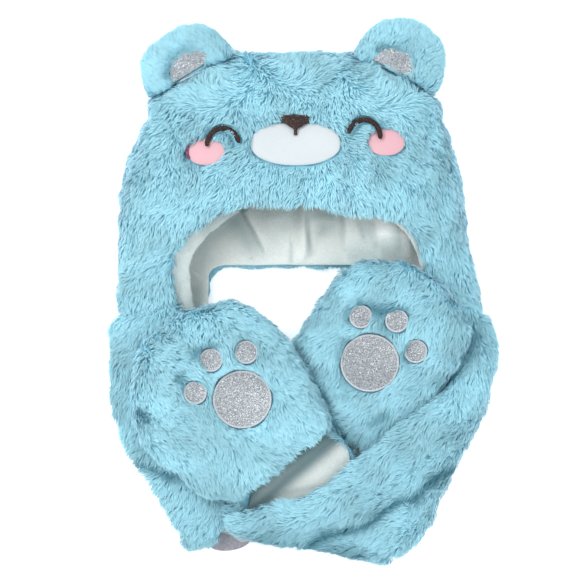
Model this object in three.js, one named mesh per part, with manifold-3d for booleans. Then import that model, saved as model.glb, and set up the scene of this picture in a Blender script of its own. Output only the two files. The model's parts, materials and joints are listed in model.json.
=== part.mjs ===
// Animal hood scarf: a plush bear hood whose two long tails end in paw pockets.
// It lies on its back with the tails folded over each other.
// Millimetres. +X is to the right and +Y towards the crown as the face is seen from above, and +Z is up.
// Left and right are the sides as seen in that view. Lengths in the tables are shares of the named sizes.
import * as THREE from "three";
import Module from "manifold-3d";

const wasm = await Module();
wasm.setup();

// Hood sizes
const HOOD_WIDTH = 294;
const HOOD_LENGTH = 219;
const HOOD_RISE = 75;
const HOOD_ROUNDNESS = 3;
const BACK_EDGE_HEIGHT = 9;
const BACK_EDGE_INSET = 7;
const SIDE_PADDING = 4;
const CAVITY_RIM = 2;
const HEM_WIDTH = 14;
const BACK_HEM_STEP = 3;
const NECK_CORNER = 13;

// Cloth sizes
const FUR = 8;
const PRESSED_FUR = 5;
const LINING = 2.5;
const GAP = 0.4;
const EDGE = 0.3;
const RUFFLE = 1.1;
const RUFFLE_LENGTH = 17;
const PILE_ROUNDNESS = 3.2;
const GROOVE_SHARE = 0.5;
const GROOVE_WIDTH = 0.09;
const TUCK = 0.8;
const LINING_FOLD = 5;
const LINING_FOLD_WIDTH = 7;
const LINING_MARGIN = 0.055;

// Ear sizes
const LEFT_EAR_LENGTH = 82;
const LEFT_EAR_HEIGHT = 42;
const RIGHT_EAR_LENGTH = 79;
const RIGHT_EAR_HEIGHT = 48;
const EAR_THICKNESS = 27;
const EAR_MID_HEIGHT = 20;
const EAR_ROUNDNESS = 2.5;
const EAR_SEAM_DEPTH = 16;
const EAR_DISH = 7;
const EAR_PATCH_RADIUS = 19;
const EAR_PATCH_FOOT = 3;

// Face sizes
const MUZZLE_WIDTH = 76;
const MUZZLE_HEIGHT = 39;
const MUZZLE_NOTCH = 4;
const MUZZLE_NOTCH_WIDTH = 7;
const MUZZLE_SINK = 0.2;
const NOSE_WIDTH = 24;
const NOSE_HEIGHT = 12;
const NOSE_STEM = 5;
const NOSE_STEM_WIDTH = 2.6;
const NOSE_STAND = 1;
const EYE_WIDTH = 27;
const EYE_HEIGHT = 15;
const EYE_THREAD = 3.6;
const EYE_STAND = 0.8;
const CHEEK_WIDTH = 32;
const CHEEK_HEIGHT = 23;
const CHEEK_SINK = 0.4;
const PATCH_THICKNESS = 2.2;
const STITCH_THICKNESS = 1.8;

// Tail and paw sizes
const TAIL_DROP = 215;
const PAW_LENGTH = 153;
const PAW_WIDTH = 128;
const PAW_RISE = 25;
const PAW_ROUNDNESS = 2.6;
const PAD_RADIUS = 25;
const TOE_RADIUS = 10;
const PAD_RECESS = 2;
const PAW_BACK_LENGTH = 0.985;
const PAW_BACK_WIDTH = 0.97;
const LEAST_RISE = 3;

// Sizes of the facets that a patch is drawn with
const FACE_FACET = 18;
const PAD_FACET = 16;
const EAR_FACET = 8;
const FOLD_STEPS = 5;

const HALF_WIDTH = HOOD_WIDTH / 2;
const HALF_PAW = PAW_WIDTH / 2;
const LAYER = FUR + LINING + 2 * GAP;
const TABLE_LEVEL = PRESSED_FUR + GAP;
const FOLD_RADIUS = 0.45 * LAYER;
const PRESSED = PRESSED_FUR / FUR;
const BEYOND = 60;

// Ripples of the plush: how many cross its ruffle length each way, and each one's share of the height
const RIPPLES = [
  { across: 2.9, along: 1.0, share: 0.4 },
  { across: -0.7, along: 2.3, share: 0.35 },
  { across: 1.3, along: -1.9, share: 0.25 },
];

// Hood cross-sections from the crown seam down: side edges, and the height over the left and the right half
const HOOD_ROWS = [
  { down: 0.0, left: -0.34, right: 0.34, riseLeft: 0.24, riseRight: 0.24 },
  { down: 0.03, left: -0.42, right: 0.43, riseLeft: 0.4, riseRight: 0.4 },
  { down: 0.08, left: -0.55, right: 0.58, riseLeft: 0.52, riseRight: 0.52 },
  { down: 0.13, left: -0.68, right: 0.73, riseLeft: 0.62, riseRight: 0.62 },
  { down: 0.18, left: -0.81, right: 0.84, riseLeft: 0.69, riseRight: 0.69 },
  { down: 0.25, left: -0.83, right: 0.86, riseLeft: 0.77, riseRight: 0.77 },
  { down: 0.35, left: -0.9, right: 0.91, riseLeft: 0.86, riseRight: 0.86 },
  { down: 0.44, left: -0.95, right: 0.95, riseLeft: 0.93, riseRight: 0.93 },
  { down: 0.58, left: -0.99, right: 0.99, riseLeft: 1.0, riseRight: 1.0 },
  { down: 0.72, left: -0.99, right: 1.01, riseLeft: 0.9, riseRight: 0.8 },
  { down: 0.81, left: -1.0, right: 1.04, riseLeft: 0.76, riseRight: 0.6 },
  { down: 0.86, left: -1.0, right: 1.06, riseLeft: 0.65, riseRight: 0.5 },
  { down: 0.93, left: -1.01, right: 1.08, riseLeft: 0.53, riseRight: 0.46 },
  { down: 1.0, left: -1.02, right: 1.11, riseLeft: 0.48, riseRight: 0.45 },
];

// Edge of the face opening from the left side over the brow to the right, and how much hem shows inside it
const FACE_ROWS = [
  { x: -0.65, down: 1.0, hem: 1.0 },
  { x: -0.68, down: 0.86, hem: 1.0 },
  { x: -0.66, down: 0.78, hem: 1.0 },
  { x: -0.61, down: 0.73, hem: 1.1 },
  { x: -0.5, down: 0.66, hem: 1.1 },
  { x: -0.33, down: 0.6, hem: 0.9 },
  { x: -0.09, down: 0.585, hem: 0.1 },
  { x: 0.11, down: 0.585, hem: -0.3 },
  { x: 0.24, down: 0.61, hem: -0.4 },
  { x: 0.37, down: 0.63, hem: -0.4 },
  { x: 0.53, down: 0.63, hem: -0.4 },
  { x: 0.62, down: 0.66, hem: -0.3 },
  { x: 0.7, down: 0.72, hem: -0.3 },
  { x: 0.745, down: 0.8, hem: -0.2 },
  { x: 0.76, down: 0.86, hem: -0.2 },
  { x: 0.75, down: 1.0, hem: -0.2 },
];

// The neck hole below the back hem
const NECK_HOLE = { left: -0.46, right: 0.46, down: 0.835 };

// Folds of the lining on the back panel, each a ridge from one point to another
const LINING_FOLDS = [
  { x: -0.42, down: 0.56, toX: -0.26, toDown: 0.76, height: 1.0 },
  { x: -0.12, down: 0.56, toX: -0.1, toDown: 0.72, height: 0.7 },
  { x: 0.07, down: 0.56, toX: 0.08, toDown: 0.8, height: 1.0 },
  { x: 0.3, down: 0.56, toX: 0.42, toDown: 0.74, height: 1.1 },
  { x: 0.58, down: 0.62, toX: 0.62, toDown: 0.8, height: 0.9 },
];

// Both ears: the two ends of the corner seam that each is sewn into, and its outline
const EARS = {
  left: {
    base: [
      { x: -0.81, down: 0.186 },
      { x: -0.337, down: -0.008 },
    ],
    length: LEFT_EAR_LENGTH,
    height: LEFT_EAR_HEIGHT,
    patchShift: 0.02,
  },
  right: {
    base: [
      { x: 0.343, down: 0.004 },
      { x: 0.829, down: 0.163 },
    ],
    length: RIGHT_EAR_LENGTH,
    height: RIGHT_EAR_HEIGHT,
    patchShift: -0.04,
  },
};

// Places on the face, with the turn of each piece in degrees
const FACE = {
  muzzle: { x: 0.02, down: 0.351 },
  nose: { x: 0.02, down: 0.272 },
  leftEye: { x: -0.394, down: 0.365, turn: 6 },
  rightEye: { x: 0.413, down: 0.332, turn: -10 },
  leftCheek: { x: -0.491, down: 0.386, turn: -4 },
  rightCheek: { x: 0.537, down: 0.349, turn: 8 },
};

// Left tail from the hood to its fold, plush up: the places of its inner and outer edge, and how far up
// each is, in layers above a tail that lies on the surface
const LEFT_TAIL_OVER = [
  { inX: -0.33, inY: 0, outX: -1.02, outY: 0, inUp: 1.8, outUp: 0.3, pile: 1.0, bow: 0.75 },
  { inX: -0.27, inY: 0.14, outX: -1.04, outY: 0.14, inUp: 1.5, outUp: 0.1, pile: 1.0, bow: 0.65 },
  { inX: -0.22, inY: 0.26, outX: -1.04, outY: 0.29, inUp: 1.1, outUp: 0.0, pile: 1.0, bow: 0.5 },
  { inX: -0.18, inY: 0.36, outX: -1.01, outY: 0.43, inUp: 0.9, outUp: 0.0, pile: 1.0, bow: 0.45 },
  { inX: -0.15, inY: 0.46, outX: -0.93, outY: 0.57, inUp: 0.9, outUp: 0.2, pile: 1.0, bow: 0.3 },
  { inX: -0.13, inY: 0.56, outX: -0.83, outY: 0.67, inUp: 0.9, outUp: 0.6, pile: 1.0, bow: 0.2 },
  { inX: -0.13, inY: 0.68, outX: -0.73, outY: 0.77, inUp: 0.9, outUp: 0.8, pile: 1.0, bow: 0.1 },
  { inX: -0.15, inY: 0.8, outX: -0.67, outY: 0.815, inUp: 0.9, outUp: 0.9, pile: 1.0, bow: 0.0, cover: 0.7 },
];
const LEFT_TAIL_FOLD = {
  inX: -0.21,
  inY: 0.93,
  outX: -0.6,
  outY: 0.895,
  inUp: 0.9,
  outUp: 0.9,
  cover: 0.45,
  spill: 1.1,
};
const LEFT_TAIL_UNDER = [
  { inX: 0.0, inY: 0.86, outX: -0.55, outY: 0.76, inUp: 0.0, outUp: 0.0, cover: 0.75 },
  { inX: 0.22, inY: 0.82, outX: -0.46, outY: 0.66, inUp: 0.0, outUp: 0.0 },
  { inX: 0.44, inY: 0.74, outX: -0.32, outY: 0.5, inUp: 0.0, outUp: 0.0 },
];

// Right tail: a bunched roll beside the right paw that opens into a band with a groove, then its fold
const RIGHT_TAIL_OVER = [
  { inX: 0.72, inY: 0, outX: 1.11, outY: 0, inUp: 0.5, outUp: 0.5, pile: 1.5, belly: 0.9, groove: 0.9 },
  { inX: 0.78, inY: 0.1, outX: 1.15, outY: 0.1, inUp: 0.5, outUp: 0.7, pile: 1.7, belly: 1.0, groove: 0.9 },
  { inX: 0.86, inY: 0.18, outX: 1.17, outY: 0.19, inUp: 0.7, outUp: 1.0, pile: 1.8, belly: 1.2, groove: 0.9 },
  { inX: 0.9, inY: 0.26, outX: 1.15, outY: 0.28, inUp: 1.2, outUp: 1.0, pile: 1.7, belly: 1.1, groove: 0.9 },
  { inX: 0.85, inY: 0.34, outX: 1.11, outY: 0.37, inUp: 3.2, outUp: 0.9, pile: 1.5, belly: 0.6, groove: 0.9 },
  { inX: 0.67, inY: 0.41, outX: 1.05, outY: 0.46, inUp: 3.2, outUp: 0.8, pile: 1.3, belly: 0.2, groove: 0.9 },
  { inX: 0.52, inY: 0.49, outX: 0.97, outY: 0.58, inUp: 3.0, outUp: 0.7, pile: 1.3, groove: 0.85 },
  { inX: 0.34, inY: 0.6, outX: 0.87, outY: 0.72, inUp: 3.0, outUp: 0.8, pile: 1.4, groove: 0.78 },
  { inX: 0.17, inY: 0.69, outX: 0.77, outY: 0.85, inUp: 3.05, outUp: 0.9, pile: 1.5, groove: 0.62 },
  { inX: -0.02, inY: 0.75, outX: 0.68, outY: 0.92, inUp: 3.1, outUp: 1.0, pile: 1.4, groove: 0.52 },
  { inX: -0.24, inY: 0.765, outX: 0.63, outY: 0.945, inUp: 3.15, outUp: 1.1, pile: 1.2, groove: 0.46 },
];
const RIGHT_TAIL_FOLD = { inX: -0.4, inY: 0.87, outX: 0.577, outY: 0.985, inUp: 3.32, outUp: 1.15 };
const RIGHT_TAIL_UNDER = [
  { inX: -0.4, inY: 0.78, outX: 0.55, outY: 0.88, inUp: 2.42, outUp: 0.35 },
  { inX: -0.38, inY: 0.765, outX: 0.525, outY: 0.79, inUp: 2.42, outUp: 0.9 },
  { inX: -0.35, inY: 0.75, outX: 0.46, outY: 0.66, inUp: 2.45, outUp: 1.5 },
  { inX: -0.33, inY: 0.742, outX: 0.38, outY: 0.53, inUp: 2.45, outUp: 2.2 },
];

// Paws: the middle of each cuff, the way it points, its height at the cuff and at the toes, and its outline
const PAWS = {
  left: {
    cuffX: -0.015,
    cuffY: 0.572,
    heading: 128.4,
    cuffLift: 2.45,
    toeLift: 3.7,
    rows: [
      { along: 0.0, left: -0.92, right: 0.74, rise: 0.85 },
      { along: 0.12, left: -1.2, right: 0.82, rise: 0.94 },
      { along: 0.32, left: -1.31, right: 0.93, rise: 1.0 },
      { along: 0.49, left: -1.42, right: 0.97, rise: 1.0 },
      { along: 0.62, left: -1.39, right: 0.93, rise: 0.98 },
      { along: 0.745, left: -1.23, right: 0.88, rise: 0.92 },
      { along: 0.855, left: -1.04, right: 0.76, rise: 0.8 },
      { along: 0.93, left: -0.9, right: 0.58, rise: 0.64 },
      { along: 0.98, left: -0.74, right: 0.24, rise: 0.46 },
      { along: 1.0, left: -0.58, right: 0.0, rise: 0.36 },
    ],
  },
  right: {
    cuffX: 0.214,
    cuffY: 0.449,
    heading: 57.7,
    cuffLift: 0.0,
    toeLift: 3.6,
    rows: [
      { along: 0.0, left: -0.98, right: 0.98, rise: 0.6 },
      { along: 0.15, left: -1.0, right: 1.0, rise: 0.75 },
      { along: 0.35, left: -1.0, right: 1.0, rise: 0.95 },
      { along: 0.56, left: -1.0, right: 1.0, rise: 1.0 },
      { along: 0.7, left: -0.99, right: 1.0, rise: 0.97 },
      { along: 0.8, left: -0.95, right: 0.98, rise: 0.88 },
      { along: 0.9, left: -0.76, right: 0.85, rise: 0.7 },
      { along: 0.955, left: -0.56, right: 0.62, rise: 0.52 },
      { along: 0.99, left: -0.32, right: 0.36, rise: 0.38 },
    ],
  },
};

// Pads of a paw: along the paw from the cuff, and across from its axis
const PAW_PADS = [
  { name: "main_pad", along: 0.417, across: 0, radius: PAD_RADIUS },
  { name: "toe_pad_1", along: 0.606, across: -0.427, radius: TOE_RADIUS },
  { name: "toe_pad_2", along: 0.692, across: 0, radius: TOE_RADIUS },
  { name: "toe_pad_3", along: 0.606, across: 0.427, radius: TOE_RADIUS },
];

const MATERIALS = {
  plush: { color: 0x9fd9ea, roughness: 0.95 },
  fleece: { color: 0xf1f3ea, roughness: 0.95 },
  pink: { color: 0xf7a9b6, roughness: 0.9 },
  brown: { color: 0x553a30, roughness: 0.7 },
  silver: { color: 0xb4b6bb, roughness: 0.35, metalness: 0.6 },
};

// Geometry helpers

// The smooth course of one column of a table along another
function course(rows, along, column) {
  const spots = rows.map((row) => row[along]);
  const values = rows.map((row) => row[column]);
  const interpolant = new THREE.CubicInterpolant(spots, values, 1, [0]);
  return (at) => interpolant.evaluate(at)[0];
}

// Height of a rounded section at a place across it, from -1 at one edge to 1 at the other
function dome(across, roundness) {
  return Math.max(0, 1 - Math.abs(across) ** roundness) ** (1 / roundness);
}

// Places across a dome, spaced so that its steep sides have enough faces
function domePlace(share, roundness) {
  const lean = -Math.cos(Math.PI * share);
  return Math.sign(lean) * Math.abs(lean) ** (2 / roundness);
}

// The unevenness of plush at a place in plan
function ruffle(x, y) {
  let height = 0;
  for (const { across, along, share } of RIPPLES) {
    height += share * Math.sin((x * across + y * along) / RUFFLE_LENGTH);
  }
  return RUFFLE * height;
}

// A closed geometry through sections, each an upper and a lower row of points that meet at both ends
function skin(sections) {
  const columns = sections[0].upper.length - 1;
  const around = 2 * columns;
  const points = sections.flatMap(({ upper, lower }) => [...upper, ...lower.slice(1, columns).reverse()]);
  const faces = [];
  const quad = (a, b, c, d) => faces.push(a, b, c, a, c, d);
  for (let s = 0; s + 1 < sections.length; s++) {
    for (let k = 0; k < around; k++) {
      const a = s * around + k;
      const b = s * around + ((k + 1) % around);
      quad(a, b, b + around, a + around);
    }
  }
  const last = (sections.length - 1) * around;
  for (let k = 0; k < columns; k++) {
    const lowerHere = k === 0 ? 0 : around - k;
    const lowerNext = k === columns - 1 ? columns : around - k - 1;
    const corners = [k, k + 1, lowerNext, lowerHere];
    quad(...[...corners].reverse());
    quad(...corners.map((corner) => corner + last));
  }
  const geometry = new THREE.BufferGeometry().setFromPoints(points);
  geometry.setIndex(faces);
  return geometry;
}

// A geometry as a solid, with its faces turned outwards
function solid(geometry) {
  const positions = geometry.getAttribute("position").array;
  const faces = [...geometry.index.array];
  const corner = (i) => new THREE.Vector3().fromArray(positions, 3 * faces[i]);
  let volume = 0;
  for (let i = 0; i < faces.length; i += 3) {
    volume += corner(i).dot(corner(i + 1).cross(corner(i + 2)));
  }
  if (volume < 0) {
    faces.reverse();
  }
  const kept = [];
  for (let i = 0; i < faces.length; i += 3) {
    const [a, b, c] = faces.slice(i, i + 3);
    if (a !== b && b !== c && c !== a) {
      kept.push(a, b, c);
    }
  }
  const mesh = new wasm.Mesh({
    numProp: 3,
    vertProperties: new Float32Array(positions),
    triVerts: new Uint32Array(kept),
  });
  return new wasm.Manifold(mesh);
}

// An upright prism over an outline in plan
function prism(outline, from, to) {
  const options = { depth: to - from, bevelEnabled: false, curveSegments: 1 };
  const extruded = new THREE.ExtrudeGeometry(new THREE.Shape(outline), options);
  extruded.translate(0, 0, from);
  return solidOfSoup(extruded);
}

// A three.js geometry whose corners are not shared, as a solid
function solidOfSoup(geometry) {
  const positions = geometry.getAttribute("position");
  const known = new Map();
  const points = [];
  const faces = [];
  for (let i = 0; i < positions.count; i++) {
    const point = new THREE.Vector3().fromBufferAttribute(positions, i);
    const key = point.toArray().map((value) => value.toFixed(4)).join();
    if (!known.has(key)) {
      known.set(key, points.length);
      points.push(point);
    }
    faces.push(known.get(key));
  }
  const joined = new THREE.BufferGeometry().setFromPoints(points);
  joined.setIndex(faces);
  return solid(joined);
}

// A solid as a named mesh
function meshOf(name, body, material) {
  const { vertProperties, triVerts, numProp } = body.getMesh();
  const geometry = new THREE.BufferGeometry();
  geometry.setAttribute("position", new THREE.BufferAttribute(new Float32Array(vertProperties), numProp));
  geometry.setIndex(new THREE.BufferAttribute(new Uint32Array(triVerts), 1));
  geometry.computeVertexNormals();
  const mesh = new THREE.Mesh(geometry, new THREE.MeshStandardMaterial(MATERIALS[material]));
  mesh.name = name;
  return mesh;
}

// Hood

const hoodY = (down) => -down * HOOD_LENGTH;
const hoodX = (share) => share * HALF_WIDTH;
const hoodCourse = Object.fromEntries(
  ["left", "right", "riseLeft", "riseRight"].map((column) => [column, course(HOOD_ROWS, "down", column)]),
);

// Side edges and heights of the hood's section at a place down it
function hoodSection(down) {
  return {
    left: hoodX(hoodCourse.left(down)),
    right: hoodX(hoodCourse.right(down)),
    riseLeft: HOOD_RISE * hoodCourse.riseLeft(down),
    riseRight: HOOD_RISE * hoodCourse.riseRight(down),
  };
}

// Height of the hood's plush front at a place in plan
function frontHeight(x, y) {
  const { left, right, riseLeft, riseRight } = hoodSection(-y / HOOD_LENGTH);
  const share = THREE.MathUtils.clamp((x - left) / (right - left), 0, 1);
  const rise = THREE.MathUtils.lerp(riseLeft, riseRight, THREE.MathUtils.smoothstep(share, 0.25, 0.75));
  return BACK_EDGE_HEIGHT + (rise - BACK_EDGE_HEIGHT) * dome(2 * share - 1, HOOD_ROUNDNESS);
}

// The hood's outer form set in by a depth, which is less than nothing for a grown copy
function hoodForm({ inset, columns, rows, from = 0, past = 0, surface = () => 0, floor = () => 0 }) {
  const sideInset = inset > 0 ? inset + SIDE_PADDING : inset;
  const under = Math.max(inset, -GAP);
  const rimHeight = inset > 0 ? inset + CAVITY_RIM : BACK_EDGE_HEIGHT;
  const sections = [];
  for (let r = 0; r <= rows; r++) {
    const down = Math.max(r / rows, Math.min(-from / HOOD_LENGTH, 0.5 / rows));
    const y = r === 0 ? from : hoodY(down) - (r === rows ? past : 0);
    const { left, right } = hoodSection(down);
    const middle = (left + right) / 2;
    const half = (right - left) / 2;
    const upper = [];
    const lower = [];
    for (let c = 0; c <= columns; c++) {
      const place = domePlace(c / columns, HOOD_ROUNDNESS);
      const x = middle + place * (half - sideInset);
      if (c === 0 || c === columns) {
        upper.push(new THREE.Vector3(x, y, rimHeight));
        lower.push(new THREE.Vector3(x, y, rimHeight));
        continue;
      }
      const front = frontHeight(inset > 0 ? x : middle + place * half, hoodY(down)) - inset;
      upper.push(new THREE.Vector3(x, y, front + dome(place, HOOD_ROUNDNESS) * surface(x, y)));
      const lowerX = inset > 0 ? x : middle + place * (half - BACK_EDGE_INSET);
      lower.push(new THREE.Vector3(lowerX, y, Math.min(under + floor(lowerX, y), front - CAVITY_RIM / 2)));
    }
    sections.push({ upper, lower });
  }
  return solid(skin(sections));
}

// The edge of the face opening, or of the lining's own opening, which leaves a hem inside the plush
function faceOutline(hemWidth) {
  const edge = ({ x, down, hem }) => new THREE.Vector2(hoodX(x) + hem * hemWidth, hoodY(down));
  const points = FACE_ROWS.map(edge);
  const curve = new THREE.SplineCurve(points);
  const outline = curve.getPoints(22);
  const first = outline[0];
  const last = outline[outline.length - 1];
  return [
    new THREE.Vector2(first.x, first.y - BEYOND),
    ...outline,
    new THREE.Vector2(last.x, last.y - BEYOND),
  ];
}

// The neck hole below the back hem, with round upper corners
function neckOutline(step) {
  const left = hoodX(NECK_HOLE.left) - step;
  const right = hoodX(NECK_HOLE.right) + step;
  const top = hoodY(NECK_HOLE.down) + step;
  const shape = new THREE.Shape();
  shape.moveTo(left, hoodY(1) - BEYOND);
  shape.lineTo(right, hoodY(1) - BEYOND);
  shape.lineTo(right, top - NECK_CORNER);
  shape.quadraticCurveTo(right, top, right - NECK_CORNER, top);
  shape.lineTo(left + NECK_CORNER, top);
  shape.quadraticCurveTo(left, top, left, top - NECK_CORNER);
  return shape.getPoints(4);
}

// How far a fold of the lining stands up at a place on the back panel
function liningFold(x, y) {
  let height = 0;
  for (const fold of LINING_FOLDS) {
    const start = new THREE.Vector3(hoodX(fold.x), hoodY(fold.down), 0);
    const end = new THREE.Vector3(hoodX(fold.toX), hoodY(fold.toDown), 0);
    const place = new THREE.Vector3(x, y, 0);
    const nearest = new THREE.Line3(start, end).closestPointToPoint(place, true, new THREE.Vector3());
    const away = nearest.distanceTo(place);
    height += fold.height * LINING_FOLD * Math.exp(-((away / LINING_FOLD_WIDTH) ** 2));
  }
  return height;
}

const hoodMiddle = FUR + LINING + LINING_FOLD * 1.6;
const faceCutter = prism(faceOutline(0), hoodMiddle, HOOD_RISE + BEYOND);
const faceLiningCutter = prism(faceOutline(HEM_WIDTH), hoodMiddle, HOOD_RISE + BEYOND);
const neckCutter = prism(neckOutline(0), -BEYOND, hoodMiddle + GAP);
const neckLiningCutter = prism(neckOutline(BACK_HEM_STEP), -BEYOND, hoodMiddle + GAP);

function hoodFur() {
  const outer = hoodForm({ inset: 0, columns: 24, rows: 16, surface: ruffle });
  const inner = hoodForm({ inset: FUR, columns: 12, rows: 9, from: -FUR, past: GAP });
  return outer.subtract(inner).subtract(faceCutter).subtract(neckCutter);
}

function hoodLining() {
  const outer = hoodForm({ inset: FUR + 1.5 * GAP, columns: 12, rows: 9, from: -FUR - 1.5 * GAP });
  const depth = FUR + GAP + LINING;
  const inner = hoodForm({
    inset: depth,
    columns: 18,
    rows: 10,
    from: -depth,
    past: GAP,
    floor: liningFold,
  });
  return outer.subtract(inner).subtract(faceLiningCutter).subtract(neckLiningCutter);
}

// A slab that follows a surface, between two heights above it, over an outline in plan
function slabOn({ height, outline, box, low, high, spacing }) {
  const size = box.getSize(new THREE.Vector2());
  const columns = Math.max(2, Math.ceil(size.x / spacing));
  const rows = Math.max(2, Math.ceil(size.y / spacing));
  const sections = [];
  for (let r = 0; r <= rows; r++) {
    const y = box.min.y + (size.y * r) / rows;
    const at = (c) => box.min.x + (size.x * c) / columns;
    const row = (offset) =>
      Array.from({ length: columns + 1 }, (_, c) => new THREE.Vector3(at(c), y, height(at(c), y) + offset));
    const upper = row(high);
    const lower = row(low);
    const middle = (low + high) / 2;
    upper.unshift(new THREE.Vector3(at(0) - 1, y, height(at(0), y) + middle));
    upper.push(new THREE.Vector3(at(columns) + 1, y, height(at(columns), y) + middle));
    lower.unshift(upper[0]);
    lower.push(upper[upper.length - 1]);
    sections.push({ upper, lower });
  }
  return solid(skin(sections)).intersect(prism(outline, -BEYOND, HOOD_RISE + 2 * BEYOND));
}

// A patch sewn on a surface: its body, and the seat that what carries it leaves free
function patch({ height, outline, low, high, spacing }) {
  const box = new THREE.Box2().setFromPoints(outline(GAP)).expandByScalar(2);
  return {
    body: slabOn({ height, outline: outline(0), box, low, high, spacing }),
    seat: slabOn({ height, outline: outline(GAP), box, low: low - GAP, high: BEYOND / 2, spacing }),
  };
}

// Points of an outline drawn about a centre, turned and moved to its place
function placed(points, centre, degrees = 0) {
  const turn = THREE.MathUtils.degToRad(degrees);
  return points.map((point) => point.clone().rotateAround(new THREE.Vector2(), turn).add(centre));
}

function ellipse(halfWidth, halfHeight, sides, from = 0, sweep = 2 * Math.PI) {
  const whole = sweep >= 2 * Math.PI;
  const steps = whole ? sides : sides + 1;
  return Array.from({ length: steps }, (_, i) => {
    const angle = from + (sweep * i) / sides;
    return new THREE.Vector2(halfWidth * Math.cos(angle), halfHeight * Math.sin(angle));
  });
}

// Face

const facePlace = ({ x, down }) => new THREE.Vector2(hoodX(x), hoodY(down));

function muzzleOutline(grow) {
  const points = ellipse(MUZZLE_WIDTH / 2 + grow, MUZZLE_HEIGHT / 2 + grow, 22).map((point) => {
    const notch = Math.exp(-((point.x / MUZZLE_NOTCH_WIDTH) ** 2));
    return point.y > 0 ? new THREE.Vector2(point.x, point.y - MUZZLE_NOTCH * notch) : point;
  });
  return placed(points, facePlace(FACE.muzzle));
}

function noseOutline(grow) {
  const half = NOSE_WIDTH / 2 + grow;
  const top = NOSE_HEIGHT / 2 + grow;
  const stem = NOSE_STEM_WIDTH / 2 + grow;
  const points = [
    new THREE.Vector2(-half * 0.8, top),
    new THREE.Vector2(half * 0.8, top),
    new THREE.Vector2(half, top * 0.35),
    new THREE.Vector2(half * 0.45, -top * 0.65),
    new THREE.Vector2(stem, -top),
    new THREE.Vector2(stem, -top - NOSE_STEM),
    new THREE.Vector2(-stem, -top - NOSE_STEM),
    new THREE.Vector2(-stem, -top),
    new THREE.Vector2(-half * 0.45, -top * 0.65),
    new THREE.Vector2(-half, top * 0.35),
  ];
  return placed(points, facePlace(FACE.nose));
}

// A closed eye: an arch of stitches
function eyeOutline(place, grow) {
  const thread = EYE_THREAD + 2 * grow;
  const outer = ellipse((EYE_WIDTH + thread) / 2, EYE_HEIGHT + thread / 2, 9, 0, Math.PI);
  const inner = ellipse((EYE_WIDTH - thread) / 2, EYE_HEIGHT - thread / 2, 9, 0, Math.PI).reverse();
  const foot = ({ x, y }) => new THREE.Vector2(x, y < EYE_THREAD ? y - grow : y);
  const points = [...outer, ...inner].map(foot);
  return placed(points, facePlace(place), place.turn);
}

function cheekOutline(place, grow) {
  return placed(ellipse(CHEEK_WIDTH / 2 + grow, CHEEK_HEIGHT / 2 + grow, 16), facePlace(place), place.turn);
}

function facePatches() {
  const onFront = (outline, thickness, high) =>
    patch({ height: frontHeight, outline, low: high - thickness, high, spacing: FACE_FACET });
  return {
    muzzle: onFront(muzzleOutline, PATCH_THICKNESS, -MUZZLE_SINK),
    nose: onFront(noseOutline, STITCH_THICKNESS, NOSE_STAND),
    left_eye: onFront((grow) => eyeOutline(FACE.leftEye, grow), STITCH_THICKNESS, EYE_STAND),
    right_eye: onFront((grow) => eyeOutline(FACE.rightEye, grow), STITCH_THICKNESS, EYE_STAND),
    left_cheek: onFront((grow) => cheekOutline(FACE.leftCheek, grow), PATCH_THICKNESS, -CHEEK_SINK),
    right_cheek: onFront((grow) => cheekOutline(FACE.rightCheek, grow), PATCH_THICKNESS, -CHEEK_SINK),
  };
}

// Ears

// An ear's own frame: its seam's middle, the way along the seam and the way out
function earFrame({ base }) {
  const [start, end] = base.map(facePlace);
  const along = end.clone().sub(start).normalize();
  const out = new THREE.Vector2(-along.y, along.x);
  return { middle: start.clone().add(end).multiplyScalar(0.5), along, out };
}

function earThickness(s, h, { length, height }) {
  const alongShare = Math.abs(s / (length / 2));
  const outShare = Math.max(0, h / height);
  const radius = (alongShare ** EAR_ROUNDNESS + outShare ** EAR_ROUNDNESS) ** (1 / EAR_ROUNDNESS);
  return (EAR_THICKNESS / 2) * Math.sqrt(Math.max(0, 1 - radius ** 3));
}

// Height of an ear's front, which is dished round its patch
function earFront(s, h, ear) {
  const away = Math.hypot(s - ear.patchShift * ear.length, h) / EAR_PATCH_RADIUS;
  return EAR_MID_HEIGHT + earThickness(s, h, ear) - EAR_DISH * Math.exp(-(away ** 4));
}

function earBody(ear) {
  const { middle, along, out } = earFrame(ear);
  const at = (s, h, z) => {
    const spot = middle.clone().addScaledVector(along, s).addScaledVector(out, h);
    return new THREE.Vector3(spot.x, spot.y, z);
  };
  const rows = 9;
  const columns = 6;
  const sections = [];
  for (let r = 0; r <= rows; r++) {
    const s = (ear.length / 2 - EDGE) * -Math.cos((Math.PI * r) / rows);
    const reach = ear.height * dome(s / (ear.length / 2), EAR_ROUNDNESS);
    const upper = [];
    const lower = [];
    for (let c = 0; c <= columns; c++) {
      const h = THREE.MathUtils.lerp(-EAR_SEAM_DEPTH, reach, Math.sin(((Math.PI / 2) * c) / columns));
      const edge = c === 0 || c === columns;
      const bump = edge ? 0 : ruffle(3 * s, 3 * h);
      const top = edge ? EAR_MID_HEIGHT : Math.max(earFront(s, h, ear) + bump, EAR_MID_HEIGHT + EDGE);
      const under = edge ? EAR_MID_HEIGHT : EAR_MID_HEIGHT - earThickness(s, h, ear) - EDGE;
      upper.push(at(s, h, top));
      lower.push(edge ? upper[c] : at(s, h, under));
    }
    sections.push({ upper, lower });
  }
  return solid(skin(sections));
}

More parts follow.
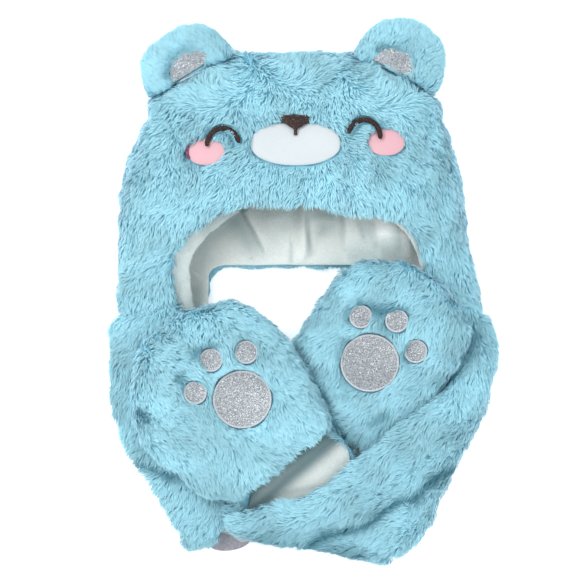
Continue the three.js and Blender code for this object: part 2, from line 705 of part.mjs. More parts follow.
// The glitter patch of an ear: a half disc that stands on the seam
function earPatch(ear) {
  const { middle, along, out } = earFrame(ear);
  const toEar = (x, y) => {
    const offset = new THREE.Vector2(x, y).sub(middle);
    return [offset.dot(along), offset.dot(out)];
  };
  const height = (x, y) => earFront(...toEar(x, y), ear);
  const outline = (grow) => {
    const half = ellipse(EAR_PATCH_RADIUS + grow, EAR_PATCH_RADIUS + grow, 10, 0, Math.PI);
    const foot = EAR_PATCH_FOOT - grow;
    return half.map((point) => {
      const s = point.x + ear.patchShift * ear.length;
      const h = point.y + foot;
      return middle.clone().addScaledVector(along, s).addScaledVector(out, h);
    });
  };
  return patch({ height, outline, low: -PATCH_THICKNESS, high: 0, spacing: EAR_FACET });
}

// Tails

const tailX = hoodX;
const tailY = (share) => hoodY(1) - 0.8 * GAP - share * TAIL_DROP;
const levelOf = (lift) => TABLE_LEVEL + lift * LAYER;

// How pressed plush lies: its height, its bows and groove, the share of the width that it covers, and its
// spill
const PRESSED_PILE = { pile: PRESSED, bow: 0, belly: 0, groove: 0, cover: 1, spill: 0 };

// A row of a tail's table as a station: the two edges of the face between its plush and its lining
function station({ inX, inY, outX, outY, inUp, outUp, ...rest }) {
  return {
    inner: new THREE.Vector3(tailX(inX), tailY(inY), levelOf(inUp)),
    outer: new THREE.Vector3(tailX(outX), tailY(outY), levelOf(outUp)),
    ...PRESSED_PILE,
    ...rest,
  };
}

// The stations round a tail's fold, from its upper side over the edge to its lower side
function foldStations(fold, over, under) {
  const { inner, outer } = station(fold);
  const line = outer.clone().sub(inner).setZ(0).normalize();
  const outward = new THREE.Vector3(line.y, -line.x, 0);
  if (outward.y > 0) {
    outward.negate();
  }
  return Array.from({ length: FOLD_STEPS + 1 }, (_, i) => {
    const angle = (Math.PI * i) / FOLD_STEPS;
    const shift = outward.clone().multiplyScalar(FOLD_RADIUS * Math.sin(angle) - FUR - FOLD_RADIUS);
    shift.z = FOLD_RADIUS * (Math.cos(angle) - 1);
    const across = outer.clone().sub(inner).normalize();
    const normal = outward.clone().multiplyScalar(Math.sin(angle)).setZ(Math.cos(angle));
    normal.addScaledVector(across, -normal.dot(across)).normalize();
    const share = i / FOLD_STEPS;
    return {
      inner: inner.clone().add(shift),
      outer: outer.clone().add(shift),
      normal,
      pile: THREE.MathUtils.lerp(over.pile, under.pile, share),
      bow: 0,
      belly: 0,
      groove: over.groove,
      cover: fold.cover ?? 1,
      spill: (fold.spill ?? 0) * Math.sin(angle),
    };
  });
}

// The cross-section of plush: round at both edges and drawn in at its groove
function pileProfile(share, groove) {
  const edge = dome(2 * share - 1, PILE_ROUNDNESS);
  if (groove === 0) {
    return edge;
  }
  return edge * (1 - GROOVE_SHARE * Math.exp(-(((share - groove) / GROOVE_WIDTH) ** 2)));
}

// One layer of a tail lofted through its stations: plush on the side of the normal, lining on the other
function tailLayer(stations, { hand, plush, columns, first = 0 }) {
  const middles = stations.map(({ inner, outer }) => inner.clone().add(outer).multiplyScalar(0.5));
  const sections = stations.map((row, i) => {
    const before = middles[Math.max(0, i - 1)];
    const after = middles[Math.min(middles.length - 1, i + 1)];
    const travel = i === 0 ? new THREE.Vector3(0, -1, 0) : after.clone().sub(before).normalize();
    const across = row.outer.clone().sub(row.inner);
    const normal = row.normal ?? across.clone().cross(travel).multiplyScalar(hand).normalize();
    const margin = plush ? 0 : LINING_MARGIN;
    const upper = [];
    const lower = [];
    for (let c = 0; c <= columns; c++) {
      const share = c / columns;
      const reach = plush ? 1 - row.cover * (1 - share) : share;
      const along = THREE.MathUtils.lerp(margin, 1 - margin, reach);
      const spot = row.inner.clone().addScaledVector(across, along);
      spot.addScaledVector(normal, row.bow * LAYER * 4 * share * (1 - share));
      const edge = c === 0 || c === columns;
      const profile = pileProfile(share, plush ? row.groove : 0);
      const rough = plush && !edge && row.pile > PRESSED ? ruffle(spot.x, spot.y) : 0;
      const bare = TUCK - row.cover;
      if (!plush && share < bare) {
        spot.addScaledVector(normal, row.spill * FUR * Math.sin((Math.PI * share) / bare));
      }
      const near = (plush ? 0.5 : 1.5) * GAP;
      const far = near + (plush ? FUR * row.pile * profile + rough : LINING * Math.max(profile, 0.5));
      const sign = plush ? 1 : -1;
      const sag = plush ? row.belly * LAYER * profile : 0;
      const face = spot.clone().addScaledVector(normal, sign * near - sag);
      const back = spot.clone().addScaledVector(normal, sign * far);
      if (edge) {
        const mid = spot.clone().addScaledVector(normal, sign * (near + EDGE));
        upper.push(mid);
        lower.push(mid);
      } else {
        upper.push(plush ? back : face);
        lower.push(plush ? face : back);
      }
    }
    return { upper, lower };
  });
  return solid(skin(sections.slice(first)));
}

// Paws

const pawRad = (paw) => THREE.MathUtils.degToRad(paw.heading);

// A place on a paw, by lengths along it from the cuff and across it, in plan
function pawSpot(paw, along, across) {
  const way = new THREE.Vector2(Math.cos(pawRad(paw)), Math.sin(pawRad(paw)));
  const side = new THREE.Vector2(way.y, -way.x);
  const cuff = new THREE.Vector2(tailX(paw.cuffX), tailY(paw.cuffY));
  return cuff.addScaledVector(way, along).addScaledVector(side, across);
}

// Lengths along and across a paw for a place in plan
function pawPlace(paw, x, y) {
  const origin = pawSpot(paw, 0, 0);
  const way = pawSpot(paw, 1, 0).sub(origin);
  const side = pawSpot(paw, 0, 1).sub(origin);
  const offset = new THREE.Vector2(x, y).sub(origin);
  return [offset.dot(way), offset.dot(side)];
}

// Height of a paw's back, and of the plane that its panel is sewn on, at a length along it
function pawLevel(paw, along) {
  const share = Math.max(along / PAW_LENGTH, 0);
  return levelOf(THREE.MathUtils.lerp(paw.cuffLift, paw.toeLift, share));
}

const pawFloor = (paw, along) => pawLevel(paw, along) + LINING + 2.5 * GAP;

// Edges and height of a paw at a length along it
function pawSection(paw, along) {
  const share = along / PAW_LENGTH;
  return {
    left: HALF_PAW * course(paw.rows, "along", "left")(share),
    right: HALF_PAW * course(paw.rows, "along", "right")(share),
    rise: PAW_RISE * course(paw.rows, "along", "rise")(share),
  };
}

// Height of a paw's plush front at a place in plan
function pawFront(paw, x, y) {
  const [along, across] = pawPlace(paw, x, y);
  const { left, right, rise } = pawSection(paw, along);
  const place = (2 * (across - left)) / (right - left) - 1;
  return pawFloor(paw, along) + rise * dome(THREE.MathUtils.clamp(place, -1, 1), PAW_ROUNDNESS);
}

// A paw's form set in by a depth: the plush pocket panel outside, or the hand space inside it
function pawForm(paw, { inset, columns, rows, from, bottom, rough = false }) {
  const end = paw.rows[paw.rows.length - 1].along * PAW_LENGTH;
  const sections = [];
  for (let r = 0; r <= rows; r++) {
    const along = THREE.MathUtils.lerp(from, end - inset, r / rows);
    const measured = THREE.MathUtils.clamp(along + inset * (r / rows), 0, end);
    const { left, right, rise } = pawSection(paw, measured);
    const middle = (left + right) / 2;
    const half = (right - left) / 2 - inset;
    const upper = [];
    const lower = [];
    for (let c = 0; c <= columns; c++) {
      const place = domePlace(c / columns, PAW_ROUNDNESS);
      const spot = pawSpot(paw, along, middle + place * half);
      const floor = pawFloor(paw, along) + bottom;
      const edge = c === 0 || c === columns;
      const bump = rough && !edge ? ruffle(spot.x, spot.y) : 0;
      const height = Math.max(rise - inset, LEAST_RISE) * dome(place, PAW_ROUNDNESS) + bump;
      const top = Math.max(pawFloor(paw, along) + height, floor + 2 * EDGE);
      upper.push(new THREE.Vector3(spot.x, spot.y, edge ? floor + EDGE : top));
      lower.push(edge ? upper[c] : new THREE.Vector3(spot.x, spot.y, floor));
    }
    sections.push({ upper, lower });
  }
  return solid(skin(sections));
}

function pawPanel(paw) {
  const outer = pawForm(paw, { inset: 0, columns: 12, rows: 9, from: 0, bottom: 0, rough: true });
  const inner = pawForm(paw, { inset: FUR, columns: 7, rows: 5, from: -FUR, bottom: -LINING });
  return outer.subtract(inner);
}

// The pads of a paw, each a glitter disc in a recess of the plush
function pawPads(paw, side) {
  return PAW_PADS.map(({ name, along, across, radius }) => {
    const centre = pawSpot(paw, along * PAW_LENGTH, across * HALF_PAW);
    const height = (x, y) => pawFront(paw, x, y);
    const sides = radius > TOE_RADIUS ? 18 : 12;
    const outline = (grow) => placed(ellipse(radius + grow, radius + grow, sides), centre);
    const low = -PAD_RECESS - PATCH_THICKNESS;
    const made = patch({ height, outline, low, high: -PAD_RECESS, spacing: PAD_FACET });
    return { name: `${side}_${name}`, ...made };
  });
}

// The stations of a tail's end, which is the back of its paw
function pawStations(paw, swap) {
  return paw.rows.map(({ along }) => {
    const reach = along * PAW_LENGTH * PAW_BACK_LENGTH;
    const { left, right } = pawSection(paw, along * PAW_LENGTH);
    const edges = [left, right].map((across) => {
      const spot = pawSpot(paw, reach, across * PAW_BACK_WIDTH);
      return new THREE.Vector3(spot.x, spot.y, pawLevel(paw, reach));
    });
    const [inner, outer] = swap ? [edges[1], edges[0]] : edges;
    return { inner, outer, ...PRESSED_PILE };
  });
}

// All stations of a tail from the hood to the toes
function tailStations({ over, fold, under, paw, swap }) {
  const before = over.map(station);
  const after = under.map(station);
  const turned = foldStations(fold, before[before.length - 1], after[0]);
  return [...before, ...turned, ...after, ...pawStations(paw, swap)];
}

const LEFT_TAIL = {
  over: LEFT_TAIL_OVER,
  fold: LEFT_TAIL_FOLD,
  under: LEFT_TAIL_UNDER,
  paw: PAWS.right,
  swap: true,
};
const RIGHT_TAIL = {
  over: RIGHT_TAIL_OVER,
  fold: RIGHT_TAIL_FOLD,
  under: RIGHT_TAIL_UNDER,
  paw: PAWS.left,
  swap: false,
};

// The right tail's lining starts at this station, where its roll opens
const LINING_STARTS = 6;

// Assembly

function build() {
  const group = new THREE.Group();
  const add = (name, body, material) => group.add(meshOf(name, body, material));

  const grownHood = hoodForm({ inset: -GAP - RUFFLE, columns: 24, rows: 16, from: GAP });
  const face = facePatches();
  let fur = hoodFur();
  for (const { seat } of Object.values(face)) {
    fur = fur.subtract(seat);
  }
  add("hood_fur", fur, "plush");
  add("hood_lining", hoodLining(), "fleece");

  add("muzzle", face.muzzle.body.subtract(face.nose.seat), "fleece");
  add("nose", face.nose.body, "brown");
  for (const side of ["left", "right"]) {
    add(`${side}_cheek`, face[`${side}_cheek`].body.subtract(face[`${side}_eye`].seat), "pink");
    add(`${side}_eye`, face[`${side}_eye`].body, "brown");
    const shine = earPatch(EARS[side]);
    add(`${side}_ear`, earBody(EARS[side]).subtract(shine.seat).subtract(grownHood), "plush");
    add(`${side}_ear_patch`, shine.body.subtract(grownHood), "silver");
  }

  for (const [side, paw] of Object.entries(PAWS)) {
    let panel = pawPanel(paw);
    for (const { name, body, seat } of pawPads(paw, side)) {
      panel = panel.subtract(seat);
      add(name, body, "silver");
    }
    add(`${side}_paw`, panel, "plush");
  }

  const left = tailStations(LEFT_TAIL);
  const right = tailStations(RIGHT_TAIL);
  const rightLining = { hand: -1, plush: false, columns: 4, first: LINING_STARTS };
  add("left_tail_fur", tailLayer(left, { hand: 1, plush: true, columns: 7 }), "plush");
  add("left_tail_lining", tailLayer(left, { hand: 1, plush: false, columns: 6 }), "fleece");
  add("right_tail_fur", tailLayer(right, { hand: -1, plush: true, columns: 9 }), "plush");
  add("right_tail_lining", tailLayer(right, rightLining), "fleece");
  return group;
}

// The origin is the middle of the underside of the whole part's box
const group = build();
const box = new THREE.Box3().setFromObject(group);
const middle = box.getCenter(new THREE.Vector3());
group.children.forEach((mesh) => mesh.position.set(-middle.x, -middle.y, -box.min.z));

export default group;
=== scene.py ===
"""The looks of an animal hood scarf: a plush bear hood whose two long tails end in paw pockets.

It lies on its back on a pale floor and is seen from straight above. Lengths are metres.
"""

import json
import logging
import math
from dataclasses import dataclass, field
from enum import Enum
from typing import Callable

import bmesh
import bpy
import numpy as np
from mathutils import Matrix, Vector
from mathutils.bvhtree import BVHTree
from mathutils.kdtree import KDTree

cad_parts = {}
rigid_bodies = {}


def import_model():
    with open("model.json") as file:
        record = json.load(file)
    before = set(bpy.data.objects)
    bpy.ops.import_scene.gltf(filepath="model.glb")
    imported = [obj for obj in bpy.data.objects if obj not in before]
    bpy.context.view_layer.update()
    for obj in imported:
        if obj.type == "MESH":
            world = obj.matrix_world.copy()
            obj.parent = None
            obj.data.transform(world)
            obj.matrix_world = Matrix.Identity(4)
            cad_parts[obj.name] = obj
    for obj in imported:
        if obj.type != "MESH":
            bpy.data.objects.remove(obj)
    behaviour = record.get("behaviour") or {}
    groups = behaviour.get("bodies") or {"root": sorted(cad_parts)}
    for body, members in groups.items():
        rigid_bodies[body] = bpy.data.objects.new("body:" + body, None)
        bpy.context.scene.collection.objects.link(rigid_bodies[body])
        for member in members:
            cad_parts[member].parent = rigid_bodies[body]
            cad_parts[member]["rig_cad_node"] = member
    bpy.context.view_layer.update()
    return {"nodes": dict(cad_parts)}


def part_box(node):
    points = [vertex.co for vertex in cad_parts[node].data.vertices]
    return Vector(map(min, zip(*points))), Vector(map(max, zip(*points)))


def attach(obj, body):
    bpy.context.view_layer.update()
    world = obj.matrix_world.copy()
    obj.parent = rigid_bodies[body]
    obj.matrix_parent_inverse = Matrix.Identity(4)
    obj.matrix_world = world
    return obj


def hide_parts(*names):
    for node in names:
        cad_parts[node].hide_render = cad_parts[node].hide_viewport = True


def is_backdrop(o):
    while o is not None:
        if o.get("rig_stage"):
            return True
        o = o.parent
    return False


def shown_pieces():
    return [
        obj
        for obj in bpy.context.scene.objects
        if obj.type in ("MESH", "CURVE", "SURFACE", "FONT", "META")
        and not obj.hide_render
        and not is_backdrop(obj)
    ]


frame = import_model()

LOG = logging.getLogger("hood_scarf")
MM = 0.001
BODY = "root"
PHOTO_UNIT = 0.85 * MM
PHOTO_MIDDLE = (303.18, 287.26)
PILE_CLEARANCE = 0.4 * MM
CLOTH_CLEARANCE = 0.2 * MM
RAY_STEP = 0.05 * MM
SIDES = ("left", "right")
UP = np.array([0.0, 0.0, 1.0])
Points = np.ndarray
Object = bpy.types.Object
Mesh = bpy.types.Mesh
Material = bpy.types.Material
Tree = bpy.types.NodeTree
Node = bpy.types.Node
Socket = bpy.types.NodeSocket


class Slot(Enum):
    """Material slots of the record, which each finish is labelled with."""

    PLUSH = "plush"
    FLEECE = "fleece"
    PINK = "pink_fleece"
    BROWN = "brown_stitching"
    SILVER = "silver_glitter"


class Make(Enum):
    """How a cloth's smooth mesh is made from its CAD solid."""

    EVEN = "even"
    LOFTED = "lofted"


def seen(across: float, down: float) -> tuple[float, float]:
    """Gives the place in plan of a point that was measured on the photograph."""
    return (across - PHOTO_MIDDLE[0]) * PHOTO_UNIT, (PHOTO_MIDDLE[1] - down) * PHOTO_UNIT


def unit(vectors: Points) -> Points:
    """Gives vectors scaled to length one."""
    return vectors / np.maximum(np.linalg.norm(vectors, axis=1), 1e-9)[:, None]


def ripple(points: Points, length: float, seed: int, waves: int = 7) -> np.ndarray:
    """Gives smooth unevenness from -1 to 1, as a sum of plane waves.

    Args:
        points: places, one row each.
        length: the usual distance between two humps.
        seed: number that sets the waves.
        waves: how many waves are added.

    Returns:
        One value for each point.
    """
    rng = np.random.default_rng(seed)
    ways = rng.normal(size=(waves, 3))
    ways /= np.linalg.norm(ways, axis=1)[:, None]
    pitch = 2 * math.pi / (length * rng.uniform(0.6, 1.7, waves))
    phase = rng.uniform(0, 2 * math.pi, waves)
    total = np.sin(points @ ways.T * pitch + phase).sum(axis=1)
    return np.clip(total / math.sqrt(waves), -1.6, 1.6) / 1.6


def away_from(points: Points, start: tuple, end: tuple) -> Points:
    """Gives the ways in plan from the nearest place of a line to points.

    Args:
        points: places, one row each.
        start: one end of the line.
        end: its other end.

    Returns:
        One way for each point.
    """
    start, run = np.array(start), np.array(end) - np.array(start)
    share = np.clip((points[:, :2] - start) @ run / (run @ run), 0, 1)
    return points[:, :2] - start - share[:, None] * run


@dataclass(frozen=True)
class CreaseShade:
    """Painted shade along a fold where little light gets in."""

    width: float  # how far it reaches to both sides
    depth: float  # how dark its painted shade is, 0 to 1
    line: tuple  # its points, as measured on the photograph

    def shade(self, points: Points) -> np.ndarray:
        """Gives how much painted shade the crease puts on points, 0 to its depth.

        Args:
            points: places, one row each.

        Returns:
            One value for each point.
        """
        near = np.full(len(points), 1e9)
        spots = [seen(*spot) for spot in self.line]
        for start, end in zip(spots, spots[1:]):
            near = np.minimum(near, np.linalg.norm(away_from(points, start, end), axis=1))
        return self.depth * np.exp(-((near / self.width) ** 2))


@dataclass(frozen=True)
class Push:
    """A soft push on a cloth, strongest at one place."""

    place: tuple[float, float]  # the place, as measured on the photograph
    reach: float  # how far around it the cloth moves
    move: tuple[float, float]  # how far the cloth moves there, across and along


def pushed(pushes: tuple) -> Callable:
    """Gives the function that moves a cloth's points by pushes.

    Args:
        pushes: the pushes, in order.

    Returns:
        The function.
    """

    def shape(points: Points) -> Points:
        """Gives points after the pushes.

        Args:
            points: the cloth's points.

        Returns:
            The points, moved.
        """
        for push in pushes:
            near = np.linalg.norm(points[:, :2] - np.array(seen(*push.place)), axis=1) / push.reach
            points = points + np.exp(-(near**2))[:, None] * np.array([*push.move, 0.0])
        return points

    return shape


def shade_of(points: Points, creases: tuple) -> np.ndarray:
    """Gives how much painted shade the creases put on points, 0 to 1.

    Args:
        points: places, one row each.
        creases: the creases whose shade is painted.

    Returns:
        One value for each point.
    """
    light = np.ones(len(points))
    for crease in creases:
        light *= 1 - crease.shade(points)
    return 1 - light


def box_of(node: str) -> tuple[Points, Points]:
    """Gives the middle and half the size of a CAD node's box."""
    low, high = (np.array(corner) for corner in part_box(node))
    return (low + high) / 2, (high - low) / 2


def mesh_arrays(mesh: Mesh) -> tuple[Points, np.ndarray]:
    """Gives a mesh's vertices, and its triangles as rows of three vertex numbers.

    Args:
        mesh: the mesh.

    Returns:
        The vertices and the triangles.
    """
    mesh.calc_loop_triangles()
    points = np.zeros(len(mesh.vertices) * 3)
    mesh.vertices.foreach_get("co", points)
    corners = np.zeros(len(mesh.loop_triangles) * 3, np.int64)
    mesh.loop_triangles.foreach_get("vertices", corners)
    return points.reshape(-1, 3), corners.reshape(-1, 3)


def normals_of(mesh: Mesh) -> Points:
    """Gives the normals at a mesh's vertices.

    Args:
        mesh: the mesh.

    Returns:
        One normal for each vertex.
    """
    normals = np.zeros(len(mesh.vertices) * 3)
    mesh.vertices.foreach_get("normal", normals)
    return normals.reshape(-1, 3)


def crosses(points: Points, faces: np.ndarray) -> Points:
    """Gives each triangle's normal, twice as long as the triangle is large."""
    a, b, c = (points[faces[:, i]] for i in range(3))
    return np.cross(b - a, c - a)


def shown(name: str, data: bpy.types.ID) -> Object:
    """Makes an object and puts it in the scene.

    Args:
        name: its name.
        data: its data.

    Returns:
        The object.
    """
    made = bpy.data.objects.new(name, data)
    bpy.context.scene.collection.objects.link(made)
    return made


def smooth_faces(mesh: Mesh) -> None:
    """Shades a mesh smooth."""
    mesh.polygons.foreach_set("use_smooth", np.ones(len(mesh.polygons), bool))


def paint(mesh: Mesh, name: str, colours: Points) -> None:
    """Stores a colour with its opacity at each of a mesh's vertices."""
    layer = mesh.color_attributes.new(name, "FLOAT_COLOR", "POINT")
    layer.data.foreach_set("color", colours.reshape(-1).astype(np.float32))


def reworked(piece: Object, work: Callable) -> None:
    """Lets a function change a piece's mesh.

    Args:
        piece: the piece.
        work: the function.
    """
    made = bmesh.new()
    made.from_mesh(piece.data)
    work(made)
    made.to_mesh(piece.data)
    made.free()


def new_piece(name: str, points: Points, faces: list, outward: bool = False) -> Object:
    """Makes a smooth mesh object and puts it in the scene.

    Args:
        name: the piece's name.
        points: its vertices.
        faces: its faces, as rows of vertex numbers.
        outward: whether its faces still have to be turned outward.

    Returns:
        The object.
    """
    mesh = bpy.data.meshes.new(name)
    mesh.from_pydata([tuple(point) for point in points], [], [tuple(face) for face in faces])
    smooth_faces(mesh)
    mesh.update()
    piece = shown(name, mesh)
    if outward:
        reworked(piece, lambda made: bmesh.ops.recalc_face_normals(made, faces=made.faces))
    return piece


def grid_faces(rows: int, columns: int) -> list[tuple[int, int, int, int]]:
    """Gives the quads of rings of points, one ring of some columns after the other.

    Args:
        rows: number of rings.
        columns: number of points in a ring.

    Returns:
        The quads.
    """
    faces = []
    for row in range(rows - 1):
        for column in range(columns):
            here = row * columns + column
            beside = row * columns + (column + 1) % columns
            faces.append((here, beside, beside + columns, here + columns))
    return faces


def end_faces(rows: int, columns: int) -> list[tuple]:
    """Gives the two faces that close the ends of such rings."""
    return [tuple(range(columns))[::-1], tuple((rows - 1) * columns + i for i in range(columns))]


def apply_modifiers(piece: Object) -> None:
    """Turns a piece's modifiers into its mesh.

    Args:
        piece: the piece.
    """
    graph = bpy.context.evaluated_depsgraph_get()
    made = bpy.data.meshes.new_from_object(piece.evaluated_get(graph))
    piece.modifiers.clear()
    piece.data = made
    made.name = piece.name


def node_of(tree: Tree, kind: str, inputs: dict, **settings: str) -> Node:
    """Adds a node to a material.

    Args:
        tree: the node tree.
        kind: the node's kind.
        inputs: its inputs' values, or the sockets that feed them.
        settings: its settings.

    Returns:
        The node.
    """
    node = tree.nodes.new(f"ShaderNode{kind}")
    for name, value in settings.items():
        setattr(node, name, value)
    for name, value in inputs.items():
        if isinstance(value, Socket):
            tree.links.new(value, node.inputs[name])
        else:
            node.inputs[name].default_value = value
    return node


def own_place(tree: Tree) -> Socket:
    """Gives the socket with a piece's own coordinates."""
    return node_of(tree, "TexCoord", {}).outputs["Object"]


def noise(tree: Tree, scale: float, detail: float) -> Socket:
    """Gives the socket with a noise on a piece's own coordinates."""
    inputs = {"Scale": scale, "Detail": detail, "Vector": own_place(tree)}
    return node_of(tree, "TexNoise", inputs).outputs["Fac"]


@dataclass(frozen=True)
class Finish:
    """A material made of nodes."""

    name: str
    slot: Slot | None  # the record's slot, if it is for the object
    colour: tuple[float, float, float]  # base colour, linear
    roughness: float = 0.9
    sheen: float = 0.0

    MADE = {}

    def start(self) -> tuple[Material, Tree, Node]:
        """Makes the material.

        Returns:
            The material, its node tree and its shader node.
        """
        material = bpy.data.materials.new(self.name)
        material.use_nodes = True
        tree = material.node_tree
        shader = tree.nodes["Principled BSDF"]
        shader.inputs["Base Color"].default_value = (*self.colour, 1)
        shader.inputs["Roughness"].default_value = self.roughness
        shader.inputs["Specular IOR Level"].default_value = 0.2
        if self.sheen:
            shader.inputs["Sheen Weight"].default_value = self.sheen
            shader.inputs["Sheen Roughness"].default_value = 0.5
            shader.inputs["Sheen Tint"].default_value = (*self.colour, 1)
        return material, tree, shader

    @staticmethod
    def ramp(tree: Tree, value: Socket, stops: list) -> Socket:
        """Adds a colour ramp.

        Args:
            tree: the node tree.
            value: socket that drives the ramp.
            stops: rows of a place and a linear colour.

        Returns:
            The socket with the colour.
        """
        node = node_of(tree, "ValToRGB", {"Fac": value})
        elements = node.color_ramp.elements
        while len(elements) < len(stops):
            elements.new(0.5)
        for element, (place, colour) in zip(elements, stops):
            element.position = place
            element.color = (*colour, 1)
        return node.outputs["Color"]

    @staticmethod
    def relief(tree: Tree, shader: Node, height: Socket, depth: float) -> None:
        """Adds relief.

        Args:
            tree: the node tree.
            shader: the shader node.
            height: socket with the height.
            depth: depth of the relief.
        """
        bump = node_of(tree, "Bump", {"Strength": 1.0, "Distance": depth, "Height": height})
        tree.links.new(bump.outputs["Normal"], shader.inputs["Normal"])

    def dress(self, piece: Object, node: str = "", fill: float = 0.0) -> None:
        """Gives a piece this finish and lets it ride on the object.

        Args:
            piece: the piece.
            node: the CAD node that it stands for, which is hidden, if it isn't hidden yet.
            fill: how full a padded piece is, or 0; not used.
        """
        if node:
            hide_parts(node)
        if self.name not in self.MADE:
            self.MADE[self.name] = self.make()
        piece.data.materials.clear()
        piece.data.materials.append(self.MADE[self.name])
        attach(piece, BODY)


@dataclass(frozen=True)
class PileFinish(Finish):
    """Plush pile: each strand takes its colour from an attribute, from its root to its tip."""

    attribute: str = "pile_colour"

    def make(self) -> Material:
        """Makes the material.

        Returns:
            The material.
        """
        material, tree, shader = self.start()
        strand = node_of(tree, "Attribute", {}, attribute_name=self.attribute)
        tree.links.new(strand.outputs["Color"], shader.inputs["Base Color"])
        return material


@dataclass(frozen=True)
class ClothFinish(Finish):
    """Knitted or brushed cloth with a fine uneven nap, painted shade in its hollows and painted shade from
    creases.
    """

    shade: tuple[float, float, float] = (0.5, 0.5, 0.5)  # linear colour of the painted shade in the hollows of the nap
    nap: float = 500.0  # scale of the nap
    depth: float = 0.4 * MM  # depth of the nap
    painted_shade: tuple[float, float, float] = (0.1, 0.2, 0.22)  # linear colour of the painted shade in a crease at its darkest
    creases: str = "crease"  # the attribute with the creases' painted shade

    def make(self) -> Material:
        """Makes the material.

        Returns:
            The material.
        """
        material, tree, shader = self.start()
        # The nap's noise sets its bumps and its colour, with painted shade in its hollows.
        fine = noise(tree, self.nap, 4.0)
        wide = noise(tree, self.nap / 22, 2.0)
        both = node_of(tree, "Math", {0: fine, 1: wide}, operation="ADD")
        half = node_of(tree, "Math", {0: both.outputs[0], 1: 0.5}, operation="MULTIPLY")
        tone = self.ramp(tree, half.outputs[0], [(0.3, self.shade), (0.62, self.colour)])
        # The creases' painted shade, from an attribute.
        crease = node_of(tree, "Attribute", {}, attribute_name=self.creases).outputs["Fac"]
        mix = {"Factor": crease, 6: tone, 7: (*self.painted_shade, 1)}
        blend = node_of(tree, "Mix", mix, data_type="RGBA")
        tree.links.new(blend.outputs[2], shader.inputs["Base Color"])
        self.relief(tree, shader, fine, self.depth)
        return material


@dataclass(frozen=True)
class GlitterFinish(Finish):
    """Silver glitter: small flakes that face every way, some bright and some dark, their glints and shade
    painted into their colour.
    """

    flakes: float = 1900.0
    # Flake colours from dark to white: painted shade and glints.
    stops: tuple = (
        (0.0, (0.19, 0.2, 0.22)),
        (0.3, (0.31, 0.33, 0.36)),
        (0.6, (0.42, 0.45, 0.48)),
        (0.9, (0.62, 0.65, 0.68)),
        (0.97, (1.0, 1.0, 1.0)),
    )

    def make(self) -> Material:
        """Makes the material.

        Returns:
            The material.
        """
        material, tree, shader = self.start()
        flake = node_of(tree, "TexVoronoi", {"Scale": self.flakes, "Vector": own_place(tree)})
        lone = node_of(tree, "SeparateColor", {"Color": flake.outputs["Color"]})
        tone = self.ramp(tree, lone.outputs["Red"], self.stops)
        tree.links.new(tone, shader.inputs["Base Color"])
        shader.inputs["Metallic"].default_value = 0.35
        self.relief(tree, shader, lone.outputs["Green"], 0.35 * MM)
        return material


@dataclass(frozen=True)
class ThreadFinish(Finish):
    """Embroidery thread, with flecks of a second tone."""

    fleck: tuple[float, float, float] = (0.3, 0.15, 0.1)
    spread: float = 900.0

    def make(self) -> Material:
        """Makes the material.

        Returns:
            The material.
        """
        material, tree, shader = self.start()
        grain = noise(tree, self.spread, 2.0)
        tone = self.ramp(tree, grain, [(0.56, self.colour), (0.74, self.fleck)])
        tree.links.new(tone, shader.inputs["Base Color"])
        self.relief(tree, shader, grain, 0.2 * MM)
        return material


PILE = PileFinish("plush_pile", Slot.PLUSH, (0.36, 0.76, 0.9), 0.85, 0.25)
# The backing is darker than the pile: painted shade where it shows between strands and in creases.
BACKING = ClothFinish(
    "plush_backing", Slot.PLUSH, (0.27, 0.58, 0.7), 0.95, 0.2, (0.2, 0.5, 0.61), 420.0, 0.8 * MM
)
FLEECE = ClothFinish(
    "fleece_lining", Slot.FLEECE, (0.84, 0.87, 0.83), 0.95, 0.15, (0.68, 0.74, 0.72), 620.0, 0.5 * MM
)
# Fleece coloured dark as painted shade.
SHADED_FLEECE = ClothFinish(
    "fleece_in_shade", Slot.FLEECE, (0.42, 0.41, 0.43), 0.95, 0.1, (0.24, 0.23, 0.27), 420.0, 0.8 * MM
)
MUZZLE = ClothFinish(
    "muzzle_fleece", Slot.FLEECE, (0.6, 0.64, 0.66), 0.95, 0.1, (0.55, 0.59, 0.61), 800.0, 0.15 * MM
)
CHEEK = ClothFinish(
    "cheek_fleece", Slot.PINK, (0.7, 0.425, 0.46), 0.9, 0.1, (0.7, 0.4, 0.45), 800.0, 0.15 * MM
)
BROWN = ThreadFinish("face_thread", Slot.BROWN, (0.03, 0.018, 0.018), 0.6, fleck=(0.2, 0.1, 0.07))
# Dark maroon threads that paint the shadow along the cheeks' left edges.
CHEEK_SHADOW = ThreadFinish("cheek_shadow_thread", Slot.PINK, (0.16, 0.06, 0.11), 0.8, fleck=(0.42, 0.2, 0.28))
SILVER = GlitterFinish("silver_glitter", Slot.SILVER, (0.5, 0.5, 0.52), 0.38)
RIM = ThreadFinish("silver_thread", Slot.SILVER, (0.52, 0.55, 0.58), 0.5, fleck=(0.8, 0.82, 0.84))
# Dark threads that paint the shadow ring around the pads.
PAD_SHADOW_RING = ThreadFinish("pad_shadow_thread", Slot.SILVER, (0.1, 0.16, 0.2), 0.7, fleck=(0.2, 0.28, 0.33))


